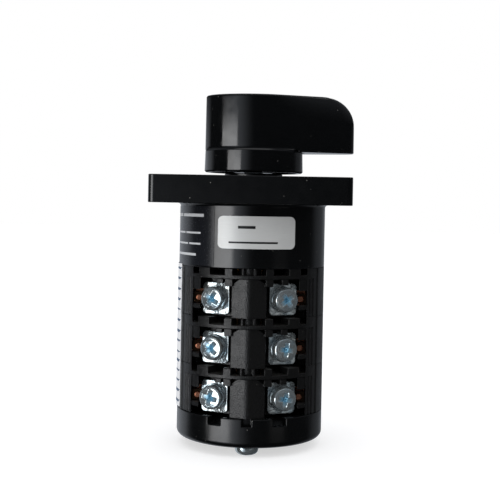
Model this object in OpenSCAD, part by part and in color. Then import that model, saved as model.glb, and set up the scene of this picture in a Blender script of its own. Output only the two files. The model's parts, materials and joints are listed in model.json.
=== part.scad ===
// Rotary cam switch with a lever handle, a square flange and three stacked contact layers.
// Millimetres. The origin is the centre of the flange's front face, +Z runs up the shaft to the lever.
// The front of the switch faces -Y and the lever points to +X in the off position.

/* [Flange and housing] */
// Side of the square mounting flange
flange_w = 65; // [64:0.5:72]
// Thickness of the flange
flange_t = 9; // [8:0.5:12]
// Radius of the flange's upright corners
flange_r = 2; // [1:0.5:3.5]
// Spacing of the four mounting holes, both ways
hole_pitch = 52; // [50:0.5:53]
// Diameter of the mounting holes
hole_d = 4.4; // [3.4:0.1:5.2]
// Outer diameter of the round body
body_d = 50; // [49:0.5:52]
// Height of the round housing behind the flange
housing_h = 21; // [20:0.5:26]
// Wall of the housing and of the end cap
wall = 2.5; // [2:0.1:3]
// Thickness of the flange's front plate
plate_t = 3.5; // [3:0.1:4]
// Diameter of the shaft boss
boss_d = 20; // [16:0.5:22]
// Height of the shaft boss above the flange
boss_h = 1.4; // [1:0.1:2]

/* [Handle] */
// Diameter of the handle's round skirt
skirt_d = 34; // [30:0.5:38]
// Height of the skirt
skirt_h = 7.7; // [6:0.1:10]
// Gap between the flange and the skirt
skirt_gap = 1.8; // [1.6:0.1:2.4]
// Height of the lever above the skirt
lever_h = 18.7; // [16:0.1:22]
// Reach of the lever from the axis to its tip
lever_reach = 34.5; // [30:0.5:40]
// Length of the lever behind the axis
lever_back = 16.9; // [15:0.1:17]
// Half width of the lever at the axis
lever_half_w = 11.6; // [10:0.1:13]
// Radius of the lever's tip, seen from above
tip_r = 4.6; // [3.5:0.1:6]
// Radius over the top of the lever's tip, seen from the side
nose_r = 10; // [6:0.5:13]
// Rounding of the lever's edges
edge_r = 0.6; // [0.4:0.1:1.5]

/* [Contact layers] */
// Number of contact layers is three: each has its own nodes
layer_h = 16.2; // [16:0.1:18]
// Height of the castellated band at the top of a layer
band_h = 2.2; // [1.8:0.1:2.6]
// Thickness of the ring plate under the band
ring_t = 1.2; // [1:0.1:1.4]
// Half width of the bays, from the axis to the columns
bay_half_w = 18.9; // [18.7:0.1:19.3]
// Half width of the barrier between two terminals
barrier_half_w = 5.7; // [5.4:0.1:5.9]
// Slope of the barrier's two front faces
barrier_slope = 20; // [14:1:24]
// Height of the end cap
cap_h = 9.6; // [8.5:0.1:12]
// Radius round the bottom edge of the end cap
cap_fillet = 2; // [1:0.1:2.2]
// Depth of the notches in the cap's rim
notch_h = 2.5; // [2:0.1:3]

/* [Terminals] */
// Distance of a terminal from the middle plane, sideways
term_x = 11.1; // [10.9:0.1:11.3]
// Distance of a terminal's washer face from the axis plane
term_y = 17.2; // [17:0.1:17.4]
// Depth of a terminal's centre below the top of its layer
term_z = 10.3; // [10:0.1:10.5]
// Angle that the terminals are turned outwards
term_turn = 22; // [17:1:22]
// Thread diameter of the terminal and tie screws
screw_d = 4; // [3.5:0.1:4]
// Diameter of the screw heads
head_d = 8; // [7:0.1:8]
// Height of the screw heads
head_h = 3.1; // [2.2:0.1:3.2]
// Width of the square clamp washers
clamp_w = 9.6; // [9:0.1:9.6]
// Height of the square clamp washers
clamp_h = 10.6; // [10:0.1:10.8]
// Thickness of the clamp washers and spring washers
washer_t = 1; // [0.8:0.1:1]
// Outer diameter of the spring washers
spring_washer_d = 8.6; // [8:0.1:9]
// Distance of the tie screws in from the body's outside
tie_in = 5.5; // [5.3:0.1:5.7]

/* [Contacts] */
// Thickness of the contact strips and bridges
strip_t = 1.2; // [1:0.1:1.2]
// Height of the fixed contact strips
strip_h = 8; // [7:0.5:8.5]
// Height of a fixed strip's tail, round its rivet
tail_h = 3.4; // [3.2:0.1:4]
// Distance of the contact tips from the middle plane
tip_x = 16.8; // [16.6:0.1:17]
// Diameter of the contact tips
tip_d = 3; // [2.4:0.1:3]
// Thickness of a contact tip
tip_t = 0.8; // [0.6:0.1:0.9]
// Opening between the contacts in the off position
contact_gap = 1.6; // [1.55:0.01:1.7]
// Height of the moving bridges
bridge_h = 5; // [4:0.5:5.5]

/* [Cams and shaft] */
// Way that a follower moves for 45 degrees of the knob
lift = 1.5; // [1.3:0.05:1.5]
// Distance of a follower's nose centre from the axis in the off position
pitch_r = 8.5; // [8.4:0.05:8.7]
// Radius of a follower's nose
nose_cam_r = 1.5; // [1.3:0.05:1.6]
// Thickness of a cam's lobe
cam_t = 7; // [6:0.5:7.5]
// Diameter of the cam hubs
hub_d = 10.2; // [10:0.1:10.2]
// Width of the square shaft
square_w = 6; // [5.5:0.1:6]
// Diameter of the shaft's upper journal
journal_d = 10; // [9:0.1:11]
// Diameter of the shaft's lower journal
pilot_d = 6; // [5.5:0.1:6.2]

/* [Detent] */
// Outer diameter of the notched wheel
detent_d = 22; // [20:0.5:23]
// Depth of the wheel's notches
notch_d = 1.2; // [0.8:0.1:1.4]
// Height of the notched part of the wheel
detent_h = 9; // [7:0.5:9.5]
// Thickness of the leaf springs
leaf_t = 0.6; // [0.4:0.1:0.7]
// Radius that the stop lug reaches
stop_r = 16; // [15:0.5:16.5]

/* [Labels] */
// Height of the silver label on the housing
label_h = 10.6; // [9:0.1:12]
// Distance of the silver label's middle behind the flange
label_drop = 9.25; // [8.5:0.05:10]
// Radius of the silver label's corners
label_r = 1.7; // [1:0.1:2.5]

/* [Hidden] */
$fn = 96;

// Clearances and small steps
eps = 0.01;
run = 0.05;
slip = 0.15;
free = 0.2;
seat = 0.02;
cam_gap = 0.15;

// Colours
black = "#17181b";
zinc = "#b9c3c9";
steel = "#a9adb0";
copper = "#b8703f";
brass = "#c9a24c";
nylon = "#e6e2d6";
ochre = "#c08a3e";

// Main levels down the axis
body_r = body_d / 2;
front_r = body_r - 0.3;
tie_y = body_r - tie_in;
housing_z = -flange_t - housing_h;
cap_z = housing_z - 3 * layer_h;
end_z = cap_z - cap_h;
skirt_z = skirt_gap;
lever_z = skirt_z + skirt_h;
top_z = lever_z + lever_h;

// Detent levels
boss_in = 1.5;
collar_z = -plate_t - boss_in - free;
collar_t = 3;
collar_d = journal_d + 3;
wheel_z = collar_z - collar_t - run;
stop_z = wheel_z - detent_h;
stop_t = 3;
stop_a = 8;
travel = 45;
cover_t = 2;
leaf_z = wheel_z - 0.5;
leaf_h = detent_h - 1;
leaf_nose_r = 1.6;
leaf_y = detent_d / 2 - notch_d + cam_gap;
leaf_end_x = 11.5;
leaf_end_y = leaf_y + leaf_nose_r + 3;
peg_r = 1.5;

// Contact planes, as distances outwards from the axis plane
bend_x = tip_x - tip_d / 2 - 0.3;
bend_s = -(bend_x - term_x + washer_t * sin(term_turn)) / cos(term_turn);
fixed_y = term_y + bend_s * sin(term_turn) - washer_t * cos(term_turn);
fixed_face = fixed_y - strip_t - tip_t;
bridge_y = fixed_face - contact_gap - tip_t;
well_y = 16;
follower_out = well_y - lift - free;
pocket_y = bridge_y + 1;
pocket_r = 2.5;
follower_w = 4;
guide_y = bridge_y + lift + 0.5;
chamber_h = layer_h - band_h - ring_t;
mid_wall_t = 1.6;
seat_in = washer_t + strip_t;
seat_t = 1.5;

// Follower, return spring and label
follower_up = term_z - band_h - ring_t - free;
follower_down = layer_h - term_z - free;
spring_wire = 0.5;
spring_d = 4.3;
spring_turns = 4;
spring_sides = 6;
label_t = 0.12;

// Handle: floor of the screw's recess above the skirt, the recess and the step of the underside
lever_floor = 6;
floor_t = 3;
recess_d = 9.6;
underside = 0.6;

// Threaded inserts for the tie screws
insert_d = 6.2;
insert_h = 9;

// Angles of the flanks' edges and of the castellated band's ribs and webs, from the front
flank_a = 65;
rib_a = 4.75;
rib_w = 0.8;
web_a = [12.8, 19];
web_b = [32, 43];

// Lugs under the ring plate, outside the clamp washers: angles from the front and length
lugs = [[-19, -12.8, 2.4], [12.8, 19, 2.4], [-26.3, -20.5, 1.5], [26, 31.5, 1.9]];
lug_in = 4.1;
ledge_w = 2.6;
ledge_t = 1.5;

// Turn of the front and the rear set of contacts, and the top of a layer
function side_turn(rear) = rear ? 180 : 0;
function layer_z(i) = housing_z - (i - 1) * layer_h;

// Point at a radius and an angle from the front, counted towards +X
function polar(r, a) = [r * sin(a), -r * cos(a)];

// A wedge from the axis between two angles from the front
module wedge(a1, a2, r = 60) {
    steps = 4;
    polygon(concat([[0, 0]], [for (k = [0 : steps]) polar(r, a1 + (a2 - a1) * k / steps)]));
}

// A sector of a ring
module sector(r1, r2, a1, a2) {
    intersection() {
        difference() {
            circle(r = r2);
            circle(r = r1);
        }
        wedge(a1, a2);
    }
}

// A square with round corners
module round_square(w, h, r) {
    for (x = [-1, 1]) {
        for (y = [-1, 1]) {
            translate([x * (w / 2 - r), y * (h / 2 - r)]) circle(r = r);
        }
    }
    square([w - 2 * r, h], center = true);
    square([w, h - 2 * r], center = true);
}

// A plate drawn in plan, from a level downwards
module down(z, h) {
    translate([0, 0, z - h]) linear_extrude(h) children();
}

// A copy at the front and one at the rear
module front_and_rear() {
    for (a = [0, 180]) {
        rotate([0, 0, a]) children();
    }
}

// Copies at the left and the right of the middle plane
module left_and_right() {
    children();
    mirror([1, 0, 0]) children();
}

// A band of even width along a line of points
function along(p, k) = p[min(k + 1, len(p) - 1)] - p[max(k - 1, 0)];
function across(p, k) = [-along(p, k)[1], along(p, k)[0]] / norm(along(p, k));
module band(p, t) {
    polygon(concat(
        [for (k = [0 : len(p) - 1]) p[k] + across(p, k) * t / 2],
        [for (k = [len(p) - 1 : -1 : 0]) p[k] - across(p, k) * t / 2]));
}

// Flange and housing

// Corner pockets in the flange's rear, between the rim, the round wall, the screw bosses and the ribs
module flange_pockets() {
    rim = 2.5;
    rib = 1.6;
    screw_boss_r = 4.6;
    difference() {
        round_square(flange_w - 2 * rim, flange_w - 2 * rim, 1);
        circle(r = body_r + 1);
        for (a = [0 : 90 : 270]) {
            rotate([0, 0, a]) {
                translate([hole_pitch / 2, hole_pitch / 2]) circle(r = screw_boss_r);
                for (x = [-12, 0, 12]) {
                    translate([x - rib / 2, 0]) square([rib, flange_w / 2]);
                }
                rotate([0, 0, -45]) translate([-rib / 2, 0]) square([rib, hole_pitch / sqrt(2)]);
            }
        }
    }
}

module front_housing() {
    cup_r = body_r - wall;
    post_r = 4.3;
    rib_r = stop_r - stop_t + 1;
    color(black) difference() {
        union() {
            difference() {
                union() {
                    down(0, flange_t) round_square(flange_w, flange_w, flange_r);
                    translate([0, 0, housing_z]) cylinder(h = housing_h + eps, r = body_r);
                    translate([0, 0, -flange_t]) rotate_extrude() difference() {
                        translate([body_r - eps, -1]) square([1, 1]);
                        translate([body_r + 1, -1]) circle(r = 1);
                    }
                }
                down(-plate_t, flange_t) flange_pockets();
                translate([0, 0, housing_z - 1]) cylinder(h = -housing_z - plate_t + 1, r = cup_r);
            }
            cylinder(h = boss_h, d = boss_d);
            translate([0, 0, -plate_t - boss_in]) cylinder(h = boss_in + eps, d = boss_d);
            // Posts for the threaded inserts, down to the detent cover
            front_and_rear() intersection() {
                translate([0, -tie_y, housing_z + cover_t])
                    cylinder(h = -housing_z - plate_t - cover_t + eps, r = post_r);
                translate([0, 0, housing_z]) cylinder(h = -housing_z, r = cup_r + 1);
            }
            // Pegs that the leaf springs lean on
            front_and_rear() left_and_right()
                translate([leaf_end_x, -leaf_end_y - leaf_t / 2 - peg_r - free, leaf_z - leaf_h])
                    cylinder(h = -plate_t - leaf_z + leaf_h + eps, r = peg_r);
            // Stops for the wheel's lug
            for (s = [-1, 1]) {
                down(stop_z + free, stop_t + 1)
                    sector(rib_r, cup_r + 1, 90 + s * (travel + stop_a + 0.5),
                        90 + s * (travel + stop_a + 7));
            }
        }
        translate([0, 0, -plate_t - boss_in - 1])
            cylinder(h = plate_t + boss_in + boss_h + 2, d = journal_d + 2 * run);
        for (x = [-1, 1]) {
            for (y = [-1, 1]) {
                translate([x * hole_pitch / 2, y * hole_pitch / 2, -flange_t - 1])
                    cylinder(h = flange_t + 2, d = hole_d);
            }
        }
        front_and_rear() translate([0, -tie_y, housing_z - 1])
            cylinder(h = cover_t + insert_h + 1, d = insert_d);
        front_and_rear() translate([0, -tie_y, housing_z - 1])
            cylinder(h = cover_t + insert_h + 3, d = screw_d + 0.2);
    }
}

module tie_inserts() {
    color(brass) front_and_rear() translate([0, -tie_y, housing_z + cover_t]) difference() {
        cylinder(h = insert_h, d = insert_d);
        translate([0, 0, -1]) cylinder(h = insert_h + 2, d = screw_d + 2 * run);
    }
}

module detent_cover() {
    color(black) difference() {
        translate([0, 0, housing_z]) cylinder(h = cover_t, r = body_r - wall - slip);
        translate([0, 0, housing_z - 1]) cylinder(h = cover_t + 2, d = hub_d + 4 * free);
        front_and_rear() translate([0, -tie_y, housing_z - 1])
            cylinder(h = cover_t + 2, d = screw_d + 2 * free);
    }
}

// Leaf spring: a round nose in the notch and two arms that lean on the pegs
module leaf_spring() {
    nose_mid = leaf_nose_r - leaf_t / 2;
    nose_y = leaf_y + leaf_nose_r;
    arm = [
        [leaf_nose_r + 0.6, -nose_y - 1], [leaf_end_x / 2, -leaf_end_y + 0.6],
        [leaf_end_x, -leaf_end_y], [leaf_end_x + 1.8, -leaf_end_y - 0.4],
        [leaf_end_x + 2.6, -leaf_end_y - 1.8]
    ];
    arc = [for (a = [-75 : 15 : 75]) [nose_mid * sin(a), nose_mid * cos(a) - nose_y]];
    down(leaf_z, leaf_h) band(concat(
        [for (k = [len(arm) - 1 : -1 : 0]) [-arm[k][0], arm[k][1]]], arc, arm), leaf_t);
}

module detent_spring(rear) {
    color(steel) rotate([0, 0, side_turn(rear)]) leaf_spring();
}

// Shaft and handle

module shaft() {
    square_top = lever_z + lever_floor;
    square_low = cap_z - 2 * run;
    color(steel) difference() {
        union() {
            translate([0, 0, collar_z - collar_t]) cylinder(h = collar_t, d = collar_d);
            translate([0, 0, collar_z - eps]) cylinder(h = boss_h - collar_z + eps, d = journal_d);
            down(square_top, square_top - square_low) square(square_w, center = true);
            translate([0, 0, square_low - 6]) cylinder(h = 6 + eps, d = pilot_d);
        }
        translate([0, 0, square_top - 12]) cylinder(h = 13, d = screw_d - 0.7);
    }
}

// The lever's outline at one height: a long oval with a narrower round tip
module lever_slice(z, inset, tip_back) {
    slice = 0.02;
    translate([0, 0, z]) {
        scale([(lever_back - inset) / 10, (lever_half_w - inset) / 10, 1])
            cylinder(h = slice, r = 10, $fn = 56);
        translate([lever_reach - tip_back - tip_r, 0, 0])
            cylinder(h = slice, r = tip_r - inset, $fn = 32);
    }
}

// Way that the tip draws back near the top, along the nose's arc
function tip_back(h) = h < lever_h - nose_r ? 0 : nose_r - sqrt(max(0,
    nose_r * nose_r - pow(h - lever_h + nose_r, 2)));

// Draft of the lever's sides
function draft(h) = 0.1 * h / lever_h;

module lever() {
    rise = [-underside, 4, lever_h - nose_r, lever_h - 7.6, lever_h - 5.4, lever_h - 3.6,
        lever_h - 2.1, lever_h - 1.1];
    hull() {
        for (h = rise) {
            lever_slice(lever_z + h, draft(h) + (h < 0 ? 0.3 : 0), tip_back(h));
        }
        for (k = [1 : 3]) {
            h = lever_h - edge_r * (1 - sin(30 * k));
            lever_slice(lever_z + h - 0.02, draft(h) + edge_r * (1 - cos(30 * k)), tip_back(h - 0.3));
        }
    }
}

module handle() {
    hollow_wall = 2.4;
    chamfer = 0.6;
    skirt_r = skirt_d / 2;
    color(black) difference() {
        union() {
            difference() {
                lever();
                translate([0, 0, lever_z - 2]) cylinder(h = 2, r = skirt_r + 0.5);
            }
            translate([0, 0, skirt_z]) rotate_extrude() polygon([
                [0, 0], [skirt_r - chamfer, 0], [skirt_r, chamfer],
                [skirt_r - 0.2, skirt_h - 0.3], [skirt_r - 0.5, skirt_h], [0, skirt_h]]);
        }
        // Hollow underside, round a boss that takes the shaft
        translate([0, 0, skirt_z - 1]) difference() {
            cylinder(h = skirt_h - 1, r = skirt_r - hollow_wall);
            cylinder(h = skirt_h - 1, d = boss_d - 6);
        }
        translate([0, 0, skirt_z - 1]) cylinder(h = 1 + eps, d = boss_d - 4);
        down(lever_z + lever_floor + free, lever_floor + skirt_h + 2)
            square(square_w + 2 * run, center = true);
        translate([0, 0, lever_z]) cylinder(h = lever_h, d = screw_d + 0.3);
        translate([0, 0, lever_z + lever_floor + floor_t])
            cylinder(h = lever_h, d = recess_d);
    }
}

// A pan-head screw: the head's underside lies at the origin and the head points to +Z
module pan_screw(shank, d = screw_d, hd = head_d, hh = head_h) {
    dome_r = 0.9 * hh;
    recess_w = 1;
    recess_l = 0.58 * hd;
    difference() {
        union() {
            rotate_extrude() {
                square([hd / 2, hh - dome_r]);
                square([hd / 2 - dome_r, hh]);
                translate([hd / 2 - dome_r, hh - dome_r]) intersection() {
                    circle(r = dome_r);
                    square(dome_r);
                }
            }
            translate([0, 0, -shank]) cylinder(h = shank + eps, d = d);
        }
        for (a = [0, 90]) {
            rotate([0, 0, a]) translate([-recess_l / 2, -recess_w / 2, 0.4 * hh])
                cube([recess_l, recess_w, hh]);
        }
    }
}

// A split ring
module split_washer(d, t) {
    split = 1;
    difference() {
        cylinder(h = t, d = d);
        translate([0, 0, -1]) cylinder(h = t + 2, d = screw_d + 0.3);
        translate([0, -split / 2, -1]) cube([d, split, t + 2]);
    }
}

module handle_screw() {
    color(zinc) translate([0, 0, lever_z + lever_floor + floor_t + washer_t])
        pan_screw(12, screw_d - 0.7 - 2 * run, head_d - 2 * free);
}

module handle_washer() {
    color(zinc) translate([0, 0, lever_z + lever_floor + floor_t])
        split_washer(spring_washer_d, washer_t);
}

// Detent wheel: eight notches for the leaf springs, and a lug that meets the stops
module detent_wheel() {
    notches = 8;
    color(nylon) difference() {
        union() {
            down(wheel_z, detent_h) difference() {
                circle(d = detent_d);
                for (k = [0 : notches - 1]) {
                    rotate([0, 0, 90 + k * 360 / notches])
                        translate([leaf_y + leaf_nose_r, 0])
                            circle(r = leaf_nose_r + cam_gap, $fn = 48);
                }
            }
            down(stop_z, stop_t) {
                circle(d = detent_d - 2);
                sector(detent_d / 2 - 2, stop_r, 90 - stop_a, 90 + stop_a);
            }
            down(stop_z - stop_t + eps, stop_z - stop_t - housing_z - run) circle(d = hub_d);
        }
        down(0, -housing_z + 1) square(square_w + 2 * run, center = true);
    }
}

// Cams

// Lift of the pitch curve, in degrees of the ramp: straight to the limit, then eased to a dwell
ease = 12;
function ramp(t) = abs(t) < travel ? t
    : sign(t) * (abs(t) > travel + ease ? travel + ease / 2
    : abs(t) - pow(abs(t) - travel, 2) / (2 * ease));

// Radius of the pitch curve: it falls towards the front right and rises towards the rear left
function pitch(a) = pitch_r + lift / travel
    * (a > 0 ? ramp(a - 90) : ramp(-90 - a));

// Outline of a cam: the pitch curve moved inwards by the nose and its clearance
function pitch_point(a) = pitch(a) * [cos(a), sin(a)];
function cam_point(a, s = 0.5) = pitch_point(a) - (nose_cam_r + cam_gap)
    * across([pitch_point(a + s), pitch_point(a), pitch_point(a - s)], 1);

module cam(i) {
    color(ochre) difference() {
        union() {
            down(layer_z(i) - term_z + cam_t / 2, cam_t)
                polygon([for (a = [-177 : 3 : 180]) cam_point(a)]);
            down(layer_z(i) - run, layer_h - 2 * run) circle(d = hub_d);
        }
        down(layer_z(i) + 1, layer_h + 2) square(square_w + 2 * run, center = true);
    }
}

// Contact blocks

// Outline of a layer: the two flanks stand a little proud of the rest
module layer_outline() {
    circle(r = front_r);
    left_and_right() sector(bay_half_w / 2, body_r, flank_a, 180 - flank_a);
}

// Everything that lies beyond a distance from the middle plane, at both sides
module beyond(x) {
    intersection() {
        children();
        left_and_right() translate([x, -body_d]) square([body_d, 2 * body_d]);
    }
}

// The castellated band: ribs, webs, pads round the tie screws and rails under the followers
module band_plan() {
    rib_in = 4;
    front_and_rear() {
        left_and_right() {
            rotate([0, 0, rib_a]) translate([-rib_w / 2, -front_r + 0.2]) square([rib_w, rib_in]);
            sector(front_r - 6, front_r, web_a[0], web_a[1]);
            sector(front_r - 5, front_r, web_b[0], web_b[1]);
            translate([2, -well_y]) square([1.6, well_y - hub_d / 2 - 2]);
        }
        translate([0, -tie_y]) circle(r = 3.6);
    }
    beyond(bay_half_w) layer_outline();
    mid_wall(hub_d / 2 + 1);
}

// Wall on the middle plane, between the front contacts and the rear ones
module mid_wall(x) {
    left_and_right() translate([x, -mid_wall_t / 2]) square([bay_half_w - x + eps, mid_wall_t]);
}

// The barrier between two terminals, with two flat faces and a rounded nose
module barrier_plan() {
    nose = 4;
    nose_y = front_r - nose - free;
    flat_x = nose * sin(barrier_slope);
    flat_y = nose_y + nose * cos(barrier_slope);
    edge_y = flat_y - (barrier_half_w - flat_x) * tan(barrier_slope);
    translate([0, -nose_y]) circle(r = nose);
    polygon([[-barrier_half_w, -well_y], [-barrier_half_w, -edge_y], [-flat_x, -flat_y],
        [flat_x, -flat_y], [barrier_half_w, -edge_y], [barrier_half_w, -well_y]]);
    left_and_right() translate([follower_w + slip, -well_y - eps])
        square([barrier_half_w - follower_w - slip, well_y - guide_y]);
}

// Turns a shape to the front left terminal
module at_terminal() {
    translate([-term_x, -term_y]) rotate([0, 0, -term_turn]) children();
}

// The seat behind one contact strip, out of the moving bridge's way
module terminal_seat_plan() {
    seat_left = 2.6;
    intersection() {
        at_terminal() translate([-seat_left, seat_in]) square([seat_left + 8, seat_t]);
        translate([-bay_half_w, -body_r]) square([bay_half_w - barrier_half_w + 1, body_r]);
    }
}

// Walls of the chamber under the ring plate: columns and hollow flanks at both sides, two barriers
module chamber_plan() {
    column_y = 9;
    flute_r = 0.45;
    column_a = asin(bay_half_w / front_r);
    difference() {
        beyond(bay_half_w) layer_outline();
        intersection() {
            beyond(bay_half_w + 1.8) circle(r = body_r - wall);
            square([body_d, 2 * column_y], center = true);
        }
        front_and_rear() left_and_right() for (a = [4.1, 8.1]) {
            translate(polar(front_r + 0.1, column_a + a)) circle(r = flute_r, $fn = 24);
        }
    }
    front_and_rear() barrier_plan();
    mid_wall(pitch_r + lift + 0.5);
}

// Fillings beside a column, above and below the rivet's tail
module ledge_plan() {
    front_and_rear() left_and_right() intersection() {
        circle(r = front_r - free);
        translate([bay_half_w - ledge_w, -body_r]) square([ledge_w + eps, body_r - fixed_y + strip_t]);
    }
}

// Bevels on the barriers' shoulders, under the ring plate
module shoulder_cuts() {
    front_and_rear() left_and_right() translate([barrier_half_w, -well_y - 1, 0]) rotate([90, 0, 0])
        linear_extrude(body_r - well_y) polygon([[eps, eps], [-2.6, eps], [eps, -1.9]]);
}

module contact_block(i) {
    top = layer_z(i);
    under = top - band_h - ring_t;
    over_tail = top - term_z + tail_h / 2 + strip_t;
    color(black) difference() {
        union() {
            down(top, band_h) band_plan();
            down(top - band_h, ring_t) layer_outline();
            difference() {
                down(under, chamber_h) chamber_plan();
                translate([0, 0, under]) shoulder_cuts();
            }
            front_and_rear() for (lug = lugs) {
                down(under, lug[2]) sector(front_r - lug_in, front_r - free, lug[0], lug[1]);
            }
            down(under, under - over_tail) ledge_plan();
            down(top - term_z - tail_h / 2 - free, ledge_t) ledge_plan();
            down(under, chamber_h) front_and_rear() left_and_right() terminal_seat_plan();
        }
        down(top + 1, layer_h) circle(d = hub_d + 4 * free);
        front_and_rear() translate([0, -tie_y, top - layer_h - 1])
            cylinder(h = layer_h + 2, d = screw_d + 2 * free);
        front_and_rear() left_and_right() translate([0, 0, top - term_z]) at_terminal()
            rotate([-90, 0, 0]) cylinder(h = 8, d = screw_d + 0.6);
    }
}

module end_cap() {
    cup_r = body_r - wall;
    floor_z = end_z + wall;
    color(black) difference() {
        union() {
            difference() {
                translate([0, 0, end_z]) rotate_extrude() {
                    square([body_r - cap_fillet, cap_h]);
                    translate([0, cap_fillet]) square([body_r, cap_h - cap_fillet]);
                    translate([body_r - cap_fillet, cap_fillet]) circle(r = cap_fillet);
                }
                translate([0, 0, floor_z]) cylinder(h = cap_h, r = cup_r);
            }
            translate([0, 0, floor_z - eps]) cylinder(h = cap_z - floor_z - 0.3, d = hub_d);
            front_and_rear() {
                translate([0, -tie_y, floor_z - eps]) cylinder(h = cap_z - floor_z + eps, r = 3.4);
                left_and_right() translate([2, -well_y, floor_z - eps])
                    cube([1.6, well_y - hub_d / 2, cap_z - floor_z]);
            }
        }
        translate([0, 0, floor_z - 0.5]) cylinder(h = cap_h, d = pilot_d + 2 * run);
        front_and_rear() {
            translate([0, -tie_y, end_z - 1]) cylinder(h = cap_h + 2, d = screw_d + 2 * free);
            down(cap_z + 1, notch_h + 1) {
                sector(cup_r - 0.5, body_r + 1, -3.7, 3.7);
                left_and_right() sector(cup_r - 0.5, body_r + 1, 20, 31);
            }
        }
    }
}

module tie_screws() {
    color(zinc) front_and_rear() translate([0, -tie_y, end_z]) rotate([180, 0, 0])
        pan_screw(housing_z - end_z + cover_t + insert_h, screw_d);
}

// Terminals

// One of the four terminals of a layer, from the front left one
module terminal(i, rear, right) {
    translate([0, 0, layer_z(i) - term_z]) rotate([0, 0, side_turn(rear)])
        mirror([right == rear ? 0 : 1, 0, 0]) children();
}

module all_terminals() {
    for (i = [1 : 3]) {
        for (rear = [false, true]) {
            for (right = [false, true]) {
                terminal(i, rear, right) children();
            }
        }
    }
}

// Strip: the wide part lies on the turned seat, its narrow tail runs straight to the column
module fixed_contact(i, rear, right) {
    in = washer_t;
    start = 4.2;
    end_x = bay_half_w - 0.3;
    function strip_point(s, d) = [-term_x + s * cos(term_turn) + d * sin(term_turn),
        -term_y - s * sin(term_turn) + d * cos(term_turn)];
    color(brass) terminal(i, rear, right) difference() {
        translate([0, 0, -strip_h / 2]) linear_extrude(strip_h) polygon([
            strip_point(start, in), strip_point(bend_s, in),
            [-end_x, -fixed_y], [-end_x, -fixed_y + strip_t],
            [-bend_x - 0.1, -fixed_y + strip_t], strip_point(start, in + strip_t)]);
        at_terminal() rotate([-90, 0, 0]) cylinder(h = 6, d = screw_d + 2 * run);
        translate([-tip_x, -fixed_y - 1, 0]) rotate([-90, 0, 0]) cylinder(h = 4, d = 1.6);
        for (up = [0, 1]) {
            mirror([0, 0, up]) translate([-end_x - 1, -fixed_y - 1, tail_h / 2])
                cube([end_x + 1 - bend_x, strip_t + 2, strip_h]);
        }
    }
}

// Rivets: a tip towards the bridge, a shank through the strip and a round tail outside
module contact_rivets() {
    tail = 0.5;
    color(copper) all_terminals() translate([-tip_x, -fixed_y, 0]) rotate([-90, 0, 0]) {
        cylinder(h = strip_t + tip_t, d = 1.6 - 2 * seat);
        translate([0, 0, strip_t]) cylinder(h = tip_t, d = tip_d);
        translate([0, 0, -tail]) cylinder(h = tail, d = 2.2);
    }
}

module terminal_screws() {
    color(zinc) all_terminals() at_terminal() translate([0, -washer_t, 0]) rotate([90, 0, 0])
        pan_screw(2 * washer_t + strip_t + seat_t + 0.8);
}

module spring_washers() {
    color(zinc) all_terminals() at_terminal() rotate([90, 0, 0])
        split_washer(spring_washer_d, washer_t);
}

module clamp_washers() {
    color(zinc) all_terminals() at_terminal() rotate([-90, 0, 0]) difference() {
        linear_extrude(washer_t) round_square(clamp_w, clamp_h, 1.4);
        translate([0, 0, -1]) cylinder(h = washer_t + 2, d = screw_d + 0.3);
    }
}

// Followers and bridges

// Turns a shape drawn for the front follower of a layer to its place
module at_follower(i, rear) {
    translate([0, 0, layer_z(i) - term_z]) rotate([0, 0, side_turn(rear)]) children();
}

module follower(i, rear) {
    inner = pitch_r + 0.2;
    color(nylon) at_follower(i, rear) difference() {
        union() {
            translate([0, -pitch_r, -2.8]) cylinder(h = 5.6, r = nose_cam_r, $fn = 48);
            translate([-nose_cam_r, -inner - eps, -2.8]) cube([2 * nose_cam_r, 0.2, 5.6]);
            translate([-follower_w, -follower_out, -follower_down])
                cube([2 * follower_w, follower_out - inner, follower_up + follower_down]);
        }
        translate([-follower_w - 1, -bridge_y - seat, -bridge_h / 2 - seat])
            cube([2 * follower_w + 2, strip_t + 2 * seat, bridge_h + 2 * seat]);
        translate([0, -pocket_y, 0]) rotate([90, 0, 0]) cylinder(h = 10, r = pocket_r);
    }
}

// Bridge: a bar with a contact tip riveted near each end
module bridge(i, rear) {
    end_x = bay_half_w - 0.5;
    color(copper) at_follower(i, rear) {
        difference() {
            translate([-end_x, -bridge_y, -bridge_h / 2]) cube([2 * end_x, strip_t, bridge_h]);
            left_and_right() translate([tip_x, -bridge_y - 1, 0]) rotate([-90, 0, 0])
                cylinder(h = 4, d = 1.6);
        }
        left_and_right() translate([tip_x, -bridge_y, 0]) rotate([-90, 0, 0]) {
            translate([0, 0, -tip_t]) cylinder(h = tip_t, d = tip_d);
            cylinder(h = strip_t + 0.3, d = 1.6 - 2 * seat);
        }
    }
}

// Return spring: a round wire swept along a helix
function helix(t) = [spring_d / 2 * cos(360 * spring_turns * t),
    spring_d / 2 * sin(360 * spring_turns * t)];

module coil(length) {
    rings = spring_turns * 12;
    rise = length - spring_wire;
    points = [for (k = [0 : rings]) for (j = [0 : spring_sides - 1])
        let (t = k / rings, a = 360 * j / spring_sides, c = helix(t), r = spring_wire / 2)
        [c[0] * (1 + r * cos(a) / (spring_d / 2)), c[1] * (1 + r * cos(a) / (spring_d / 2)),
            r + rise * t + r * sin(a)]];
    faces = concat(
        [[for (j = [0 : spring_sides - 1]) j]],
        [[for (j = [spring_sides - 1 : -1 : 0]) rings * spring_sides + j]],
        [for (k = [0 : rings - 1]) for (j = [0 : spring_sides - 1])
            let (n = (j + 1) % spring_sides, b = k * spring_sides)
            [b + j, b + spring_sides + j, b + spring_sides + n, b + n]]);
    polyhedron(points, faces, convexity = 8);
}

module return_spring(i, rear) {
    color(steel) at_follower(i, rear) translate([0, -pocket_y - run, 0]) rotate([90, 0, 0])
        coil(well_y - pocket_y - 2 * run);
}

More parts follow.
